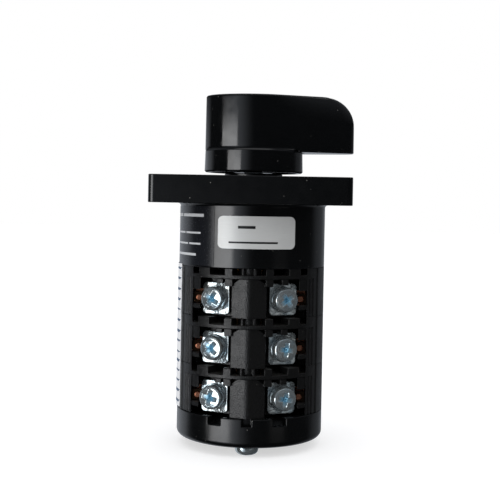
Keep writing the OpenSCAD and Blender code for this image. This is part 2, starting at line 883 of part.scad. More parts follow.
// Labels: thin shells wrapped round the body

module wrapped(turn, z, w, h, r) {
    intersection() {
        translate([0, 0, z - h]) difference() {
            cylinder(h = 2 * h, r = body_r + label_t);
            translate([0, 0, -1]) cylinder(h = 2 * h + 2, r = body_r + eps / 2);
        }
        rotate([0, 0, turn]) translate([0, 0, z]) rotate([90, 0, 0])
            linear_extrude(body_d) round_square(w, h, r);
    }
}

module front_label() {
    mid = 5.3;
    half = 30.3;
    color("#c3c6c6") wrapped(mid, -flange_t - label_drop, 2 * body_r * sin(half), label_h, label_r);
}

module rating_label() {
    color("#1d1e21") down(-flange_t - 1, housing_h - 1.5)
        sector(body_r + eps / 2, body_r + label_t, -92, -28);
}

module side_label() {
    color("#eef0f2") down(housing_z + 0.4, 3 * layer_h - 0.2)
        sector(body_r + eps / 2, body_r + label_t, -113, -68);
}

front_housing();
detent_cover();
detent_spring(false);  // detent_spring_front
detent_spring(true);  // detent_spring_rear
tie_inserts();
tie_screws();
end_cap();
contact_block(1);  // contact_block_1
contact_block(2);  // contact_block_2
contact_block(3);  // contact_block_3
fixed_contact(1, false, false);  // fixed_contact_1_front_left
fixed_contact(1, false, true);  // fixed_contact_1_front_right
fixed_contact(1, true, false);  // fixed_contact_1_rear_left
fixed_contact(1, true, true);  // fixed_contact_1_rear_right
fixed_contact(2, false, false);  // fixed_contact_2_front_left
fixed_contact(2, false, true);  // fixed_contact_2_front_right
fixed_contact(2, true, false);  // fixed_contact_2_rear_left
fixed_contact(2, true, true);  // fixed_contact_2_rear_right
fixed_contact(3, false, false);  // fixed_contact_3_front_left
fixed_contact(3, false, true);  // fixed_contact_3_front_right
fixed_contact(3, true, false);  // fixed_contact_3_rear_left
fixed_contact(3, true, true);  // fixed_contact_3_rear_right
contact_rivets();
terminal_screws();
spring_washers();
clamp_washers();
front_label();
rating_label();
side_label();
handle();
handle_screw();
handle_washer();
shaft();
detent_wheel();
cam(1);  // cam_1
cam(2);  // cam_2
cam(3);  // cam_3
follower(1, false);  // follower_1_front
follower(1, true);  // follower_1_rear
follower(2, false);  // follower_2_front
follower(2, true);  // follower_2_rear
follower(3, false);  // follower_3_front
follower(3, true);  // follower_3_rear
bridge(1, false);  // bridge_1_front
bridge(1, true);  // bridge_1_rear
bridge(2, false);  // bridge_2_front
bridge(2, true);  // bridge_2_rear
bridge(3, false);  // bridge_3_front
bridge(3, true);  // bridge_3_rear
return_spring(1, false);  // return_spring_1_front
return_spring(1, true);  // return_spring_1_rear
return_spring(2, false);  // return_spring_2_front
return_spring(2, true);  // return_spring_2_rear
return_spring(3, false);  // return_spring_3_front
return_spring(3, true);  // return_spring_3_rear
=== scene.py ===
"""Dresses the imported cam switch: rounded black mouldings, plated screws and washers, labels and a stage."""

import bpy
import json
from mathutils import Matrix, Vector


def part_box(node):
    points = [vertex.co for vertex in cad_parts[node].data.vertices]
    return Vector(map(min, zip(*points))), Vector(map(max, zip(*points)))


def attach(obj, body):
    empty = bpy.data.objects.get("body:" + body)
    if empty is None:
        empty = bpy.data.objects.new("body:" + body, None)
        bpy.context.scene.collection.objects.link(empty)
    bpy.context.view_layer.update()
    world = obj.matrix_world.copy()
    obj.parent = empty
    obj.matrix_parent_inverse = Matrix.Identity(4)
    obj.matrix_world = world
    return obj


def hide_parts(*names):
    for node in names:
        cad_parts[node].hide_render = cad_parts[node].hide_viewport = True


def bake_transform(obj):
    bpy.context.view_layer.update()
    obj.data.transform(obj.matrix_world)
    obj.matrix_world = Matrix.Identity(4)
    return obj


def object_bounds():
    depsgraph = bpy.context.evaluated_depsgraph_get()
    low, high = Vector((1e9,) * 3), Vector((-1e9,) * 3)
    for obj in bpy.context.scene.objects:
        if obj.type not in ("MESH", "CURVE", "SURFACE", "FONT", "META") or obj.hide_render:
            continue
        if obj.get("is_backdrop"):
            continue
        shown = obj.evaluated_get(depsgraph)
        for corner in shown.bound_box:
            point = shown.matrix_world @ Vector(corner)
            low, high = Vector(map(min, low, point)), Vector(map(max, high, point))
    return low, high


bl_info = {
    "name": "Cam switch",
    "version": (1, 0, 0),
    "blender": (4, 5, 0),
    "location": "View3D > Sidebar > Cam switch",
    "description": "Rounded mouldings, plated screws, washers, labels and a stage for the packed cam switch",
    "category": "Object",
}

import json
import math
import random

import bmesh
import bpy
from bpy.props import FloatProperty, FloatVectorProperty, IntProperty, PointerProperty
from mathutils import Matrix, Vector
from mathutils.bvhtree import BVHTree

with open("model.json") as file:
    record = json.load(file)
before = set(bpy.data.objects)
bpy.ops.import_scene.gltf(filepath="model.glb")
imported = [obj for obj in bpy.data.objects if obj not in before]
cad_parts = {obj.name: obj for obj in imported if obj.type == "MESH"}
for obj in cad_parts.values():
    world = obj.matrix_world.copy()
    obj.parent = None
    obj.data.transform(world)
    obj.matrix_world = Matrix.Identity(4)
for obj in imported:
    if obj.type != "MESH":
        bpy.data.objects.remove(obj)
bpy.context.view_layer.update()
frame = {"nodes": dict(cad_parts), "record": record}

MM = 0.001
LAYERS = (1, 2, 3)

# The part's own sizes that the detail has to meet
BODY_R = 25 * MM
LABEL_T = 0.12 * MM
SKIRT_R = 17 * MM
SKIRT_H = 7.7 * MM
LEVER_BACK = 16.9 * MM
LEVER_HALF = 11.6 * MM
LEVER_REACH = 34.5 * MM
TIP_R = 4.6 * MM
NOSE_R = 10 * MM
CROWN_R = 0.6 * MM
UNDERSIDE = 0.6 * MM
DRAFT = 0.1 * MM
TERM_X = 11.1 * MM
TERM_Y = 17.2 * MM
TERM_Z = 10.3 * MM
TERM_TURN = math.radians(22)
TIE_Y = 19.5 * MM
HEAD_R = 4 * MM
HEAD_H = 3.1 * MM
SCREW_R = 2 * MM
WASHER_T = 1 * MM
SCREW_LENGTH = 5.5 * MM
TIE_SHOULDER = 1.9 * MM
HANDLE_SCREW_R = 1.6 * MM
HANDLE_SCREW_SCALE = 0.95
# The paper strip's edges, in degrees from the front
STRIP_LEFT = -112.6
STRIP_RIGHT = -68.0
# Printed marks stand this high on their label, and their back lies this deep in it
INK_T = 0.03 * MM
INK_SUNK = 0.01 * MM
# Points nearer than these are one: in the CAD mesh, after rounding, and after the handle's cuts
CAD_MERGE = 0.003 * MM
ROUND_MERGE = 0.002 * MM
CUT_MERGE = 0.004 * MM
# Faces within this angle of each other lie in one plane
FLAT = math.radians(0.6)
# Turn of each terminal screw's cross, layer by layer: front left, front right, rear left, rear right
SCREW_SPINS = (28, 55, 10, 70, 40, 8, 33, 62, 12, 10, 48, 21)
# The labels' plain printed lines: from and to, in degrees from the front, then two heights in mm
RATING_LINES = (
    (-80, -68, -13.5, -12.5),
    (-66, -38, -13.5, -12.5),
    (-84, -62, -19.1, -18.5),
    (-60, -41, -19.1, -18.5),
    (-84, -57, -22.7, -22.1),
    (-55, -41, -22.7, -22.1),
    (-84, -46, -26.4, -25.6),
)
STICKER_LINES = ((-9, 4, -17.0, -16.1), (-16, 21, -21.8, -21.2))
# The picture is cropped off the lens axis
SHIFT_X = -0.006
SHIFT_Y = -0.0906


def linear(code):
    """An sRGB hex colour as linear red, green, blue and alpha."""
    parts = [int(code[k : k + 2], 16) / 255 for k in (1, 3, 5)]
    return [c / 12.92 if c <= 0.04045 else ((c + 0.055) / 1.055) ** 2.4 for c in parts] + [1.0]


def colour(name, description, code):
    """A colour property, with its default as an sRGB hex value."""
    return FloatVectorProperty(
        name=name, description=description, subtype="COLOR", size=4, min=0, max=1, default=linear(code)
    )


def length(name, description, mm):
    """A length property, with its default in millimetres."""
    return FloatProperty(name=name, description=description, unit="LENGTH", min=0, default=mm * MM)


def angle(name, description, degrees):
    """An angle property, with its default in degrees."""
    return FloatProperty(name=name, description=description, unit="ROTATION", default=math.radians(degrees))


class SwitchColours(bpy.types.PropertyGroup):
    """Colours of the switch's materials"""

    glossy: colour("Glossy black", "Housing, end cap and handle", "#070809")
    matte: colour("Matte black", "Contact blocks", "#0f0f0f")
    zinc: colour("Zinc plate", "Screws and washers", "#c3cbcd")
    chromate: colour("Blue chromate", "Blue passivation that stays in the recesses", "#74b2cf")
    copper: colour("Copper", "Rivet tails", "#bd8064")
    brass: colour("Brass", "Threaded inserts", "#c2a052")
    # The strips' colour is browned brass, made much darker as painted shade of the bays they sit in
    tarnish: colour("Brass darkened as painted shade", "Contact strips, browned and painted dark for the shade in the bays", "#2c2118")
    steel: colour("Spring steel", "Leaf springs and return springs", "#a3a7aa")
    nylon: colour("White nylon", "Detent wheel and followers", "#e4e0d4")
    ochre: colour("Ochre nylon", "Cams", "#b98438")
    sticker: colour("Silver sticker", "Sticker on the housing's front", "#d2d3d1")
    plate: colour("Black sticker", "Rating label on the housing's left", "#191b20")
    paper: colour("White paper", "Strip on the left flank", "#f8f9fc")
    ink: colour("Blue ink", "Marks on the paper strip", "#3d5878")
    print: colour("White print", "Marks on the black sticker", "#d5d7d9")


class SwitchSizes(bpy.types.PropertyGroup):
    """Sizes of the detail that the CAD solids leave out"""

    moulding_round: length("Moulding edges", "Rounding of the housing's and cap's edges", 0.28)
    block_round: length("Block edges", "Rounding of the contact blocks' edges", 0.18)
    handle_round: length("Handle edges", "Rounding of the handle's edges", 0.45)
    sheet_round: length("Sheet metal edges", "Rounding of the washers' edges", 0.3)
    steps: IntProperty(name="Steps", description="Steps round each rounded edge", min=1, max=6, default=3)
    arm_length: length("Recess length", "Length of the cross recess over both arms", 5.5)
    arm_width: length("Recess width", "Width of a recess arm at the head's surface", 1.6)
    arm_depth: length("Recess depth", "Depth of the cross recess", 1.9)
    spring_washer: length("Spring washer", "Outer diameter of the spring washers", 8.6)


class StageSettings(bpy.types.PropertyGroup):
    """Camera and light"""

    azimuth: angle("Azimuth", "Camera's angle round the switch", 1.8)
    roll: angle("Roll", "Turn of the picture, clockwise", 1.08)
    distance: length("Distance", "From the shaft's axis to the camera", 350.6)
    height: FloatProperty(
        name="Height", description="Camera above the flange's front face", unit="LENGTH", default=-9.2 * MM
    )
    lens: FloatProperty(name="Lens", description="Focal length in millimetres on a 36 mm sensor", default=72.7)
    window: FloatProperty(name="Window", description="Power of the soft light at the left", unit="POWER", default=3.3)
    ambient: FloatProperty(name="Ambient", description="Strength of the even light from all round", default=0.9)
    room: FloatProperty(name="Room", description="Brightness of the room in front, as gloss shows it", default=0.025)
    backdrop: FloatProperty(name="Backdrop", description="White that the floor adds for the camera", default=0.58)


def colours():
    """The colours as they are set in the scene."""
    return bpy.context.scene.switch_colours


def sizes():
    """The detail's sizes as they are set in the scene."""
    return bpy.context.scene.switch_sizes


# Materials

NOISE = "ShaderNodeTexNoise"
RANGE = "ShaderNodeMapRange"
MIX = "ShaderNodeMix"
MATH = "ShaderNodeMath"
VECTOR_MATH = "ShaderNodeVectorMath"
BUMP = "ShaderNodeBump"
# A Mix node's two colour inputs
FIRST, SECOND = 6, 7
# Tints that come with age and use, over the switch's own colours
DUST = "#b9b6ae"
BLUE_HAZE = "#9fc0d2"
STRAW_HAZE = "#cfc7ae"
PLASTIC_IOR = 1.53


def link(tree, node, links):
    """Links a node's inputs. A link that names a node comes from its first output in use."""
    for key, source in links.items():
        if hasattr(source, "outputs"):
            source = next(socket for socket in source.outputs if socket.enabled)
        tree.links.new(source, node.inputs[key])


def add_node(tree, kind, links=None, values=None, **settings):
    """Adds a node with its settings, its sockets' values and its links."""
    made = tree.nodes.new(kind)
    for name, value in settings.items():
        setattr(made, name, value)
    for key, value in (values or {}).items():
        made.inputs[key].default_value = value
    link(tree, made, links or {})
    return made


def new_material(name):
    """An empty material with its shader, and the Object coordinates in millimetres."""
    material = bpy.data.materials.new(name)
    material.use_nodes = True
    tree = material.node_tree
    tree.nodes.clear()
    where = add_node(tree, "ShaderNodeTexCoord")
    scale = (1 / MM, 1 / MM, 1 / MM)
    place = add_node(tree, "ShaderNodeMapping", {"Vector": where.outputs["Object"]}, {"Scale": scale})
    shader = add_node(tree, "ShaderNodeBsdfPrincipled")
    add_node(tree, "ShaderNodeOutputMaterial", {"Surface": shader})
    return material, tree, shader, place


def shade(rgba, factor):
    """A colour made darker or lighter."""
    return [min(1.0, c * factor) for c in rgba[:3]] + [1.0]


def moulded_plastic(name, rgba, rough, grain, depth, dust, sheen=0.5, settled=0.0):
    """Injection-moulded ABS, or phenolic for the blocks: an even black with fine grain from the mould and a little
    dust. To the eye it is deep black with soft, slightly broken highlights."""
    material, tree, shader, place = new_material(name)
    # The pigment clouds slightly over 9 mm
    cloud = add_node(tree, NOISE, {"Vector": place}, {"Scale": 1 / 9, "Detail": 3.0})
    tones = {FIRST: shade(rgba, 0.82), SECOND: shade(rgba, 1.2)}
    base = add_node(tree, MIX, {"Factor": cloud}, tones, data_type="RGBA")
    # Dust: grains of about 0.3 mm, far apart, drawn larger than real ones so that they show, in drifts of 14 mm
    cells = add_node(
        tree, "ShaderNodeTexVoronoi", {"Vector": place}, {"Scale": 0.42, "Randomness": 1.0}, feature="F1"
    )
    edge = {"From Min": 0.05, "From Max": 0.085, "To Min": dust, "To Max": 0.0}
    speck = add_node(tree, RANGE, {"Value": cells}, edge)
    drift = add_node(tree, NOISE, {"Vector": place}, {"Scale": 1 / 14})
    patch = add_node(tree, RANGE, {"Value": drift}, {"From Min": 0.44, "From Max": 0.58})
    seen = add_node(tree, MATH, {0: speck, 1: patch}, operation="MULTIPLY")
    if settled:
        # A thin even film of dust on the faces that point up
        where = add_node(tree, "ShaderNodeTexCoord")
        facing = add_node(tree, "ShaderNodeSeparateXYZ", {"Vector": where.outputs["Normal"]})
        upward = {"From Min": 0.6, "From Max": 0.95, "To Max": settled}
        film = add_node(tree, RANGE, {"Value": facing.outputs["Z"]}, upward)
        base = add_node(tree, MIX, {"Factor": film, FIRST: base}, {SECOND: linear(DUST)}, data_type="RGBA")
    dusty = add_node(tree, MIX, {"Factor": seen, FIRST: base}, {SECOND: linear(DUST)}, data_type="RGBA")
    # Handling marks of 3.5 mm make the gloss uneven
    streak = add_node(tree, NOISE, {"Vector": place}, {"Scale": 1 / 3.5, "Detail": 4.0})
    worn = {"From Min": 0.3, "From Max": 0.7, "To Min": rough - 0.03, "To Max": rough + 0.04}
    gloss = add_node(tree, RANGE, {"Value": streak}, worn)
    # The walls sink a little over 5 mm, and the mould's grain stands on that
    broad = add_node(tree, NOISE, {"Vector": place}, {"Scale": 1 / 5, "Detail": 0.0})
    sunk = add_node(tree, BUMP, {"Height": broad}, {"Strength": 0.25, "Distance": 0.018 * MM})
    fine = add_node(tree, NOISE, {"Vector": place}, {"Scale": 1 / grain, "Detail": 1.0})
    grained = add_node(tree, BUMP, {"Height": fine, "Normal": sunk}, {"Strength": 0.35, "Distance": depth * MM})
    link(tree, shader, {"Base Color": dusty, "Roughness": gloss, "Normal": grained})
    shader.inputs["IOR"].default_value = PLASTIC_IOR
    shader.inputs["Specular IOR Level"].default_value = sheen
    return material


def plated_steel(name, rgba, tint):
    """Zinc-plated steel with blue passivation: bright, slightly cloudy metal.
    The film is thicker in the cross recess, where it looks blue, and shifts a little over the faces."""
    material, tree, shader, place = new_material(name)
    depth = add_node(tree, "ShaderNodeAttribute", attribute_name="recess").outputs["Fac"]
    # The film scatters part of the light, and more so where it is thick in the recess
    film = {"From Min": 0.05, "From Max": 0.6, "To Min": 0.84, "To Max": 0.52}
    metal = add_node(tree, RANGE, {"Value": depth}, film)
    # Blue clouds of 4 mm and straw ones of 6 mm
    blue = add_node(tree, NOISE, {"Vector": place}, {"Scale": 1 / 4, "Detail": 3.0})
    haze = add_node(tree, RANGE, {"Value": blue}, {"From Min": 0.42, "From Max": 0.7, "To Max": 0.38})
    zinc = add_node(tree, MIX, {"Factor": haze}, {FIRST: rgba, SECOND: linear(BLUE_HAZE)}, data_type="RGBA")
    straw = add_node(tree, NOISE, {"Vector": place}, {"Scale": 1 / 6, "Detail": 1.0})
    haze = add_node(tree, RANGE, {"Value": straw}, {"From Min": 0.55, "From Max": 0.75, "To Max": 0.22})
    zinc = add_node(tree, MIX, {"Factor": haze, FIRST: zinc}, {SECOND: linear(STRAW_HAZE)}, data_type="RGBA")
    pooled = add_node(tree, RANGE, {"Value": depth}, {"From Min": 0.1, "From Max": 0.75, "To Max": 0.9})
    zinc = add_node(tree, MIX, {"Factor": pooled, FIRST: zinc}, {SECOND: tint}, data_type="RGBA")
    # Rubbed and dull spots of 1.3 mm
    rubbed = add_node(tree, NOISE, {"Vector": place}, {"Scale": 1 / 1.3, "Detail": 5.0, "Roughness": 0.65})
    worn = {"From Min": 0.3, "From Max": 0.75, "To Min": 0.12, "To Max": 0.3}
    satin = add_node(tree, RANGE, {"Value": rubbed}, worn)
    # The sheet is a little uneven over 4.5 mm
    uneven = add_node(tree, NOISE, {"Vector": place}, {"Scale": 1 / 4.5, "Detail": 0.0})
    broad = add_node(tree, BUMP, {"Height": uneven}, {"Strength": 1.0, "Distance": 0.7 * MM})
    # The real terminals lean outwards more than the solids leave room for, so their shading turns 7 degrees more
    axes = add_node(tree, "ShaderNodeSeparateXYZ", {"Vector": place})
    across = add_node(tree, MATH, {0: axes.outputs["X"]}, operation="ABSOLUTE")
    slope = {"From Min": 5.0, "From Max": 25.0, "To Min": 20.0, "To Max": 0.0}
    outward = add_node(tree, RANGE, {"Value": across}, slope)
    leaning = add_node(tree, BUMP, {"Height": outward, "Normal": broad}, {"Strength": 1.0, "Distance": 0.12 * MM})
    # Small dents of 1.2 mm, and the plated grain of 0.02 mm, which is drawn at 0.35 mm so that it shows
    dents = add_node(tree, NOISE, {"Vector": place}, {"Scale": 1 / 1.2, "Detail": 1.0})
    dented = add_node(tree, BUMP, {"Height": dents, "Normal": leaning}, {"Strength": 1.0, "Distance": 0.1 * MM})
    fine = add_node(tree, NOISE, {"Vector": place}, {"Scale": 1 / 0.35, "Detail": 2.0})
    grained = add_node(tree, BUMP, {"Height": fine, "Normal": dented}, {"Strength": 0.5, "Distance": 0.03 * MM})
    link(tree, shader, {"Metallic": metal, "Base Color": zinc, "Roughness": satin, "Normal": grained})
    return material


def bare_metal(name, rgba, low, high, period, stretch=(1, 1, 1)):
    """Rolled, stamped or drawn metal: its own colour with fine lines and a slightly uneven tarnish.
    The lines of about 0.05 mm are drawn at 0.3 to 0.4 mm so that they show."""
    material, tree, shader, place = new_material(name)
    shader.inputs["Metallic"].default_value = 1.0
    cloud = add_node(tree, NOISE, {"Vector": place}, {"Scale": 1 / 3, "Detail": 3.0})
    tones = {FIRST: shade(rgba, 0.8), SECOND: shade(rgba, 1.12)}
    tarnish = add_node(tree, MIX, {"Factor": cloud}, tones, data_type="RGBA")
    along = add_node(tree, "ShaderNodeMapping", {"Vector": place}, {"Scale": stretch})
    lines = add_node(tree, NOISE, {"Vector": along}, {"Scale": 1 / period, "Detail": 3.0})
    worn = {"From Min": 0.3, "From Max": 0.7, "To Min": low, "To Max": high}
    satin = add_node(tree, RANGE, {"Value": lines}, worn)
    drawn = add_node(tree, BUMP, {"Height": lines}, {"Strength": 0.3, "Distance": 0.01 * MM})
    link(tree, shader, {"Base Color": tarnish, "Roughness": satin, "Normal": drawn})
    return material


def nylon(name, rgba):
    """Moulded nylon: milky, with a soft sheen, a faint mottle and a fine spark-eroded grain of 0.3 mm."""
    material, tree, shader, place = new_material(name)
    cloud = add_node(tree, NOISE, {"Vector": place}, {"Scale": 1 / 4, "Detail": 3.0})
    tones = {FIRST: shade(rgba, 0.92), SECOND: shade(rgba, 1.04)}
    mottle = add_node(tree, MIX, {"Factor": cloud}, tones, data_type="RGBA")
    fine = add_node(tree, NOISE, {"Vector": place}, {"Scale": 1 / 0.3, "Detail": 1.0})
    worn = {"From Min": 0.3, "From Max": 0.7, "To Min": 0.38, "To Max": 0.5}
    satin = add_node(tree, RANGE, {"Value": fine}, worn)
    grained = add_node(tree, BUMP, {"Height": fine}, {"Strength": 0.3, "Distance": 0.02 * MM})
    link(tree, shader, {"Base Color": mottle, "Roughness": satin, "Normal": grained})
    shader.inputs["IOR"].default_value = PLASTIC_IOR
    shader.inputs["Subsurface Weight"].default_value = 0.08
    shader.inputs["Subsurface Radius"].default_value = (0.002, 0.0018, 0.0014)
    return material


def silver_film(name, rgba):
    """Matt silver polyester sticker: a satin grey with fine rolled lines that run round the body."""
    material, tree, shader, place = new_material(name)
    # The lines of about 0.05 mm are drawn 0.2 mm apart and 4 mm long, so that they show
    along = add_node(tree, "ShaderNodeMapping", {"Vector": place}, {"Scale": (0.12, 0.12, 2.2)})
    lines = add_node(tree, NOISE, {"Vector": along}, {"Scale": 1 / 0.5, "Detail": 3.0})
    tones = {FIRST: shade(rgba, 0.93), SECOND: shade(rgba, 1.07)}
    rolled = add_node(tree, MIX, {"Factor": lines}, tones, data_type="RGBA")
    cloud = add_node(tree, NOISE, {"Vector": place}, {"Scale": 1 / 7})
    haze = add_node(tree, RANGE, {"Value": cloud}, {"From Min": 0.4, "From Max": 0.7, "To Max": 0.35})
    grey = add_node(tree, MIX, {"Factor": haze, FIRST: rolled}, {SECOND: shade(rgba, 0.88)}, data_type="RGBA")
    worn = {"From Min": 0.3, "From Max": 0.7, "To Min": 0.33, "To Max": 0.43}
    satin = add_node(tree, RANGE, {"Value": lines}, worn)
    raised = add_node(tree, BUMP, {"Height": lines}, {"Strength": 0.15, "Distance": 0.01 * MM})
    link(tree, shader, {"Base Color": grey, "Roughness": satin, "Normal": raised})
    shader.inputs["Metallic"].default_value = 0.19
    return material


def printed_film(name, rgba, rough, sheen=0.5):
    """Printed vinyl or paper: an even ink layer with a soft sheen and faint fibres of 0.1 mm, drawn at 0.6 mm."""
    material, tree, shader, place = new_material(name)
    fibres = add_node(tree, NOISE, {"Vector": place}, {"Scale": 1 / 0.6, "Detail": 4.0, "Roughness": 0.7})
    tones = {FIRST: shade(rgba, 0.93), SECOND: shade(rgba, 1.06)}
    ink = add_node(tree, MIX, {"Factor": fibres}, tones, data_type="RGBA")
    worn = {"From Min": 0.3, "From Max": 0.7, "To Min": rough - 0.06, "To Max": rough + 0.08}
    satin = add_node(tree, RANGE, {"Value": fibres}, worn)
    raised = add_node(tree, BUMP, {"Height": fibres}, {"Strength": 0.2, "Distance": 0.015 * MM})
    link(tree, shader, {"Base Color": ink, "Roughness": satin, "Normal": raised})
    shader.inputs["Specular IOR Level"].default_value = sheen
    return material


def make_materials():
    """Every finish of the switch, by the record's slot."""
    c = colours()
    return {
        "black_housing_plastic": moulded_plastic(
            "Moulded ABS glossy black", c.glossy, rough=0.18, grain=0.4, depth=0.006, dust=0.42, sheen=0.44
        ),
        "black_handle_plastic": moulded_plastic(
            "Moulded ABS polished black", c.glossy, rough=0.1, grain=0.4, depth=0.004, dust=0.25
        ),
        "black_cap_plastic": moulded_plastic(
            "Moulded ABS satin black", c.glossy, rough=0.22, grain=0.4, depth=0.006, dust=0.5, sheen=0.42
        ),
        "black_block_plastic": moulded_plastic(
            "Moulded phenolic matte black",
            c.matte,
            rough=0.36,
            grain=0.42,
            depth=0.34,
            dust=0.2,
            sheen=0.4,
            settled=0.04,
        ),
        "zinc_plated_steel": plated_steel("Zinc plated steel blue passivated", c.zinc, c.chromate),
        "copper": bare_metal("Copper riveted", c.copper, 0.16, 0.3, 0.4),
        "brass": bare_metal("Brass bar turned", c.brass, 0.2, 0.36, 0.3, (1, 1, 6)),
        # Painted shade: the strips are browned brass, darkened further to stand for the shade in their bays
        "brass_strip": bare_metal("Brass strip rolled and browned", c.tarnish, 0.3, 0.46, 0.3, (1, 1, 6)),
        "spring_steel": bare_metal("Spring steel drawn", c.steel, 0.22, 0.38, 0.3),
        "shaft_steel": bare_metal("Steel shaft ground", c.steel, 0.25, 0.4, 0.3, (4, 4, 0.4)),
        "white_nylon": nylon("Nylon white moulded", c.nylon),
        "ochre_nylon": nylon("Nylon ochre moulded", c.ochre),
        "silver_label": silver_film("Polyester silver sticker", c.sticker),
        "black_label": printed_film("Vinyl black sticker", c.plate, 0.22),
        "white_label": printed_film("Paper white strip", c.paper, 0.55, 0.3),
        "label_ink": printed_film("Ink blue", c.ink, 0.5),
        "label_print": printed_film("Ink white", c.print, 0.45),
        "label_rule": printed_film("Ink black", c.glossy, 0.4),
    }


def finish(slot_name):
    """A material by its name in make_materials, which runs at the first call."""
    if not finish.made:
        finish.made.update(make_materials())
    return finish.made[slot_name]


finish.made = {}


# Meshes


def put(name, bm, slot_name):
    """A finished object at the origin from a bmesh, with its material."""
    mesh = bpy.data.meshes.new(name)
    bm.to_mesh(mesh)
    bm.free()
    mesh.materials.append(finish(slot_name))
    obj = bpy.data.objects.new(name, mesh)
    bpy.context.scene.collection.objects.link(obj)
    return obj


def smooth_faces(obj, sharp=50.0):
    """Smooth shading whose normals follow the large faces, with edges past an angle kept sharp."""
    mesh = obj.data
    bm = bmesh.new()
    bm.from_mesh(mesh)
    for edge in bm.edges:
        edge.smooth = len(edge.link_faces) == 2 and edge.calc_face_angle() < math.radians(sharp)
    for face in bm.faces:
        face.smooth = True
    bm.to_mesh(mesh)
    bm.free()
    weighted = obj.modifiers.new("Weighted normals", "WEIGHTED_NORMAL")
    weighted.keep_sharp = True
    weighted.weight = 60
    bake(obj)


def bake(obj):
    """Turns an object's modifiers into its mesh."""
    graph = bpy.context.evaluated_depsgraph_get()
    mesh = bpy.data.meshes.new_from_object(obj.evaluated_get(graph), preserve_all_data_layers=True, depsgraph=graph)
    old = obj.data
    obj.modifiers.clear()
    obj.data = mesh
    mesh.name = obj.name
    if old.users == 0:
        bpy.data.meshes.remove(old)


def merged_copy(node):
    """A CAD node's mesh as one joined surface, with its flat faces whole."""
    bm = bmesh.new()
    bm.from_mesh(frame["nodes"][node].data)
    bmesh.ops.remove_doubles(bm, verts=bm.verts, dist=CAD_MERGE)
    bmesh.ops.dissolve_limit(bm, angle_limit=FLAT, verts=bm.verts[:], edges=bm.edges[:])
    return bm


def round_edges(bm, width, steps, angle=30.0):
    """Rounds the edges past an angle, apart from the few where a rounding would leave the surface."""
    surface = BVHTree.FromBMesh(bm)
    left_sharp = []
    tries = 6
    for attempt in range(tries):
        rounded = bm.copy()
        edges = [
            e
            for e in rounded.edges
            if len(e.link_faces) == 2
            and e.calc_face_angle() > math.radians(angle)
            and not any(near_edge(e, p, 2.5 * width) for p in left_sharp)
        ]
        bmesh.ops.bevel(
            rounded,
            geom=edges,
            offset=width,
            offset_type="OFFSET",
            segments=steps,
            profile=0.5,
            affect="EDGES",
            clamp_overlap=False,
            miter_outer="ARC",
        )
        far = [v.co.copy() for v in rounded.verts if surface.find_nearest(v.co)[3] > 0.5 * width]
        if not far:
            break
        left_sharp += far
        if attempt < tries - 1:
            rounded.free()
    bm.free()
    bmesh.ops.remove_doubles(rounded, verts=rounded.verts, dist=ROUND_MERGE)
    return rounded


def near_edge(edge, point, reach):
    """Whether a point lies nearer to an edge than a reach."""
    a, b = (v.co for v in edge.verts)
    along = b - a
    t = max(0.0, min(1.0, (point - a).dot(along) / max(along.length_squared, 1e-18)))
    return (a + along * t - point).length < reach


def dressed(node, name, width, slot_name, body="housing", finish_name=None):
    """A CAD node's own shape with rounded edges and its finish, in place of the node."""
    obj = put(name, round_edges(merged_copy(node), width, sizes().steps), finish_name or slot_name)
    smooth_faces(obj)
    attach(obj, body)
    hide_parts(node)


def sprung(node):
    """A return spring in spring steel, a smooth copy of its node, which it stands in for.
    Its outer turn rests in the block, and its inner turn in the follower."""
    obj = put(node + "_coil", merged_copy(node), "spring_steel")
    smooth_faces(obj)
    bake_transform(obj)
    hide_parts(node)


def circle(bm, r, z, steps):
    """A ring of vertices round Z."""
    turns = (2 * math.pi * k / steps for k in range(steps))
    return [bm.verts.new((r * math.cos(t), r * math.sin(t), z)) for t in turns]


def skin(bm, low, high, closed=True):
    """Faces between two rings of as many points."""
    for k in range(len(low) - (0 if closed else 1)):
        n = (k + 1) % len(low)
        bm.faces.new((low[k], low[n], high[n], high[k]))


def lathe(bm, profile, steps):
    """A closed turned solid round Z from (radius, height) points. Points on the axis close it."""
    rings = [circle(bm, r, z, steps) if r > 1e-9 else [bm.verts.new((0, 0, z))] for r, z in profile]
    for low, high in zip(rings, rings[1:]):
        for k in range(steps):
            n = (k + 1) % steps
            if len(low) == 1:
                bm.faces.new((low[0], high[n], high[k]))
            elif len(high) == 1:
                bm.faces.new((low[k], low[n], high[0]))
            else:
                bm.faces.new((low[k], low[n], high[n], high[k]))
    bmesh.ops.recalc_face_normals(bm, faces=bm.faces)


def solid(make, name="cutter"):
    """A helper object for a boolean or a scatter, from a function that fills a bmesh."""
    bm = bmesh.new()
    make(bm)
    bmesh.ops.recalc_face_normals(bm, faces=bm.faces)
    mesh = bpy.data.meshes.new(name)
    bm.to_mesh(mesh)
    bm.free()
    obj = bpy.data.objects.new(name, mesh)
    bpy.context.scene.collection.objects.link(obj)
    return obj


def combine(obj, other, operation):
    """Joins or cuts an object with another, which is then removed."""
    step = obj.modifiers.new("Combine", "BOOLEAN")
    step.object = other
    step.operation = operation
    step.solver = "EXACT"
    bake(obj)
    bpy.data.objects.remove(other)


# Handle


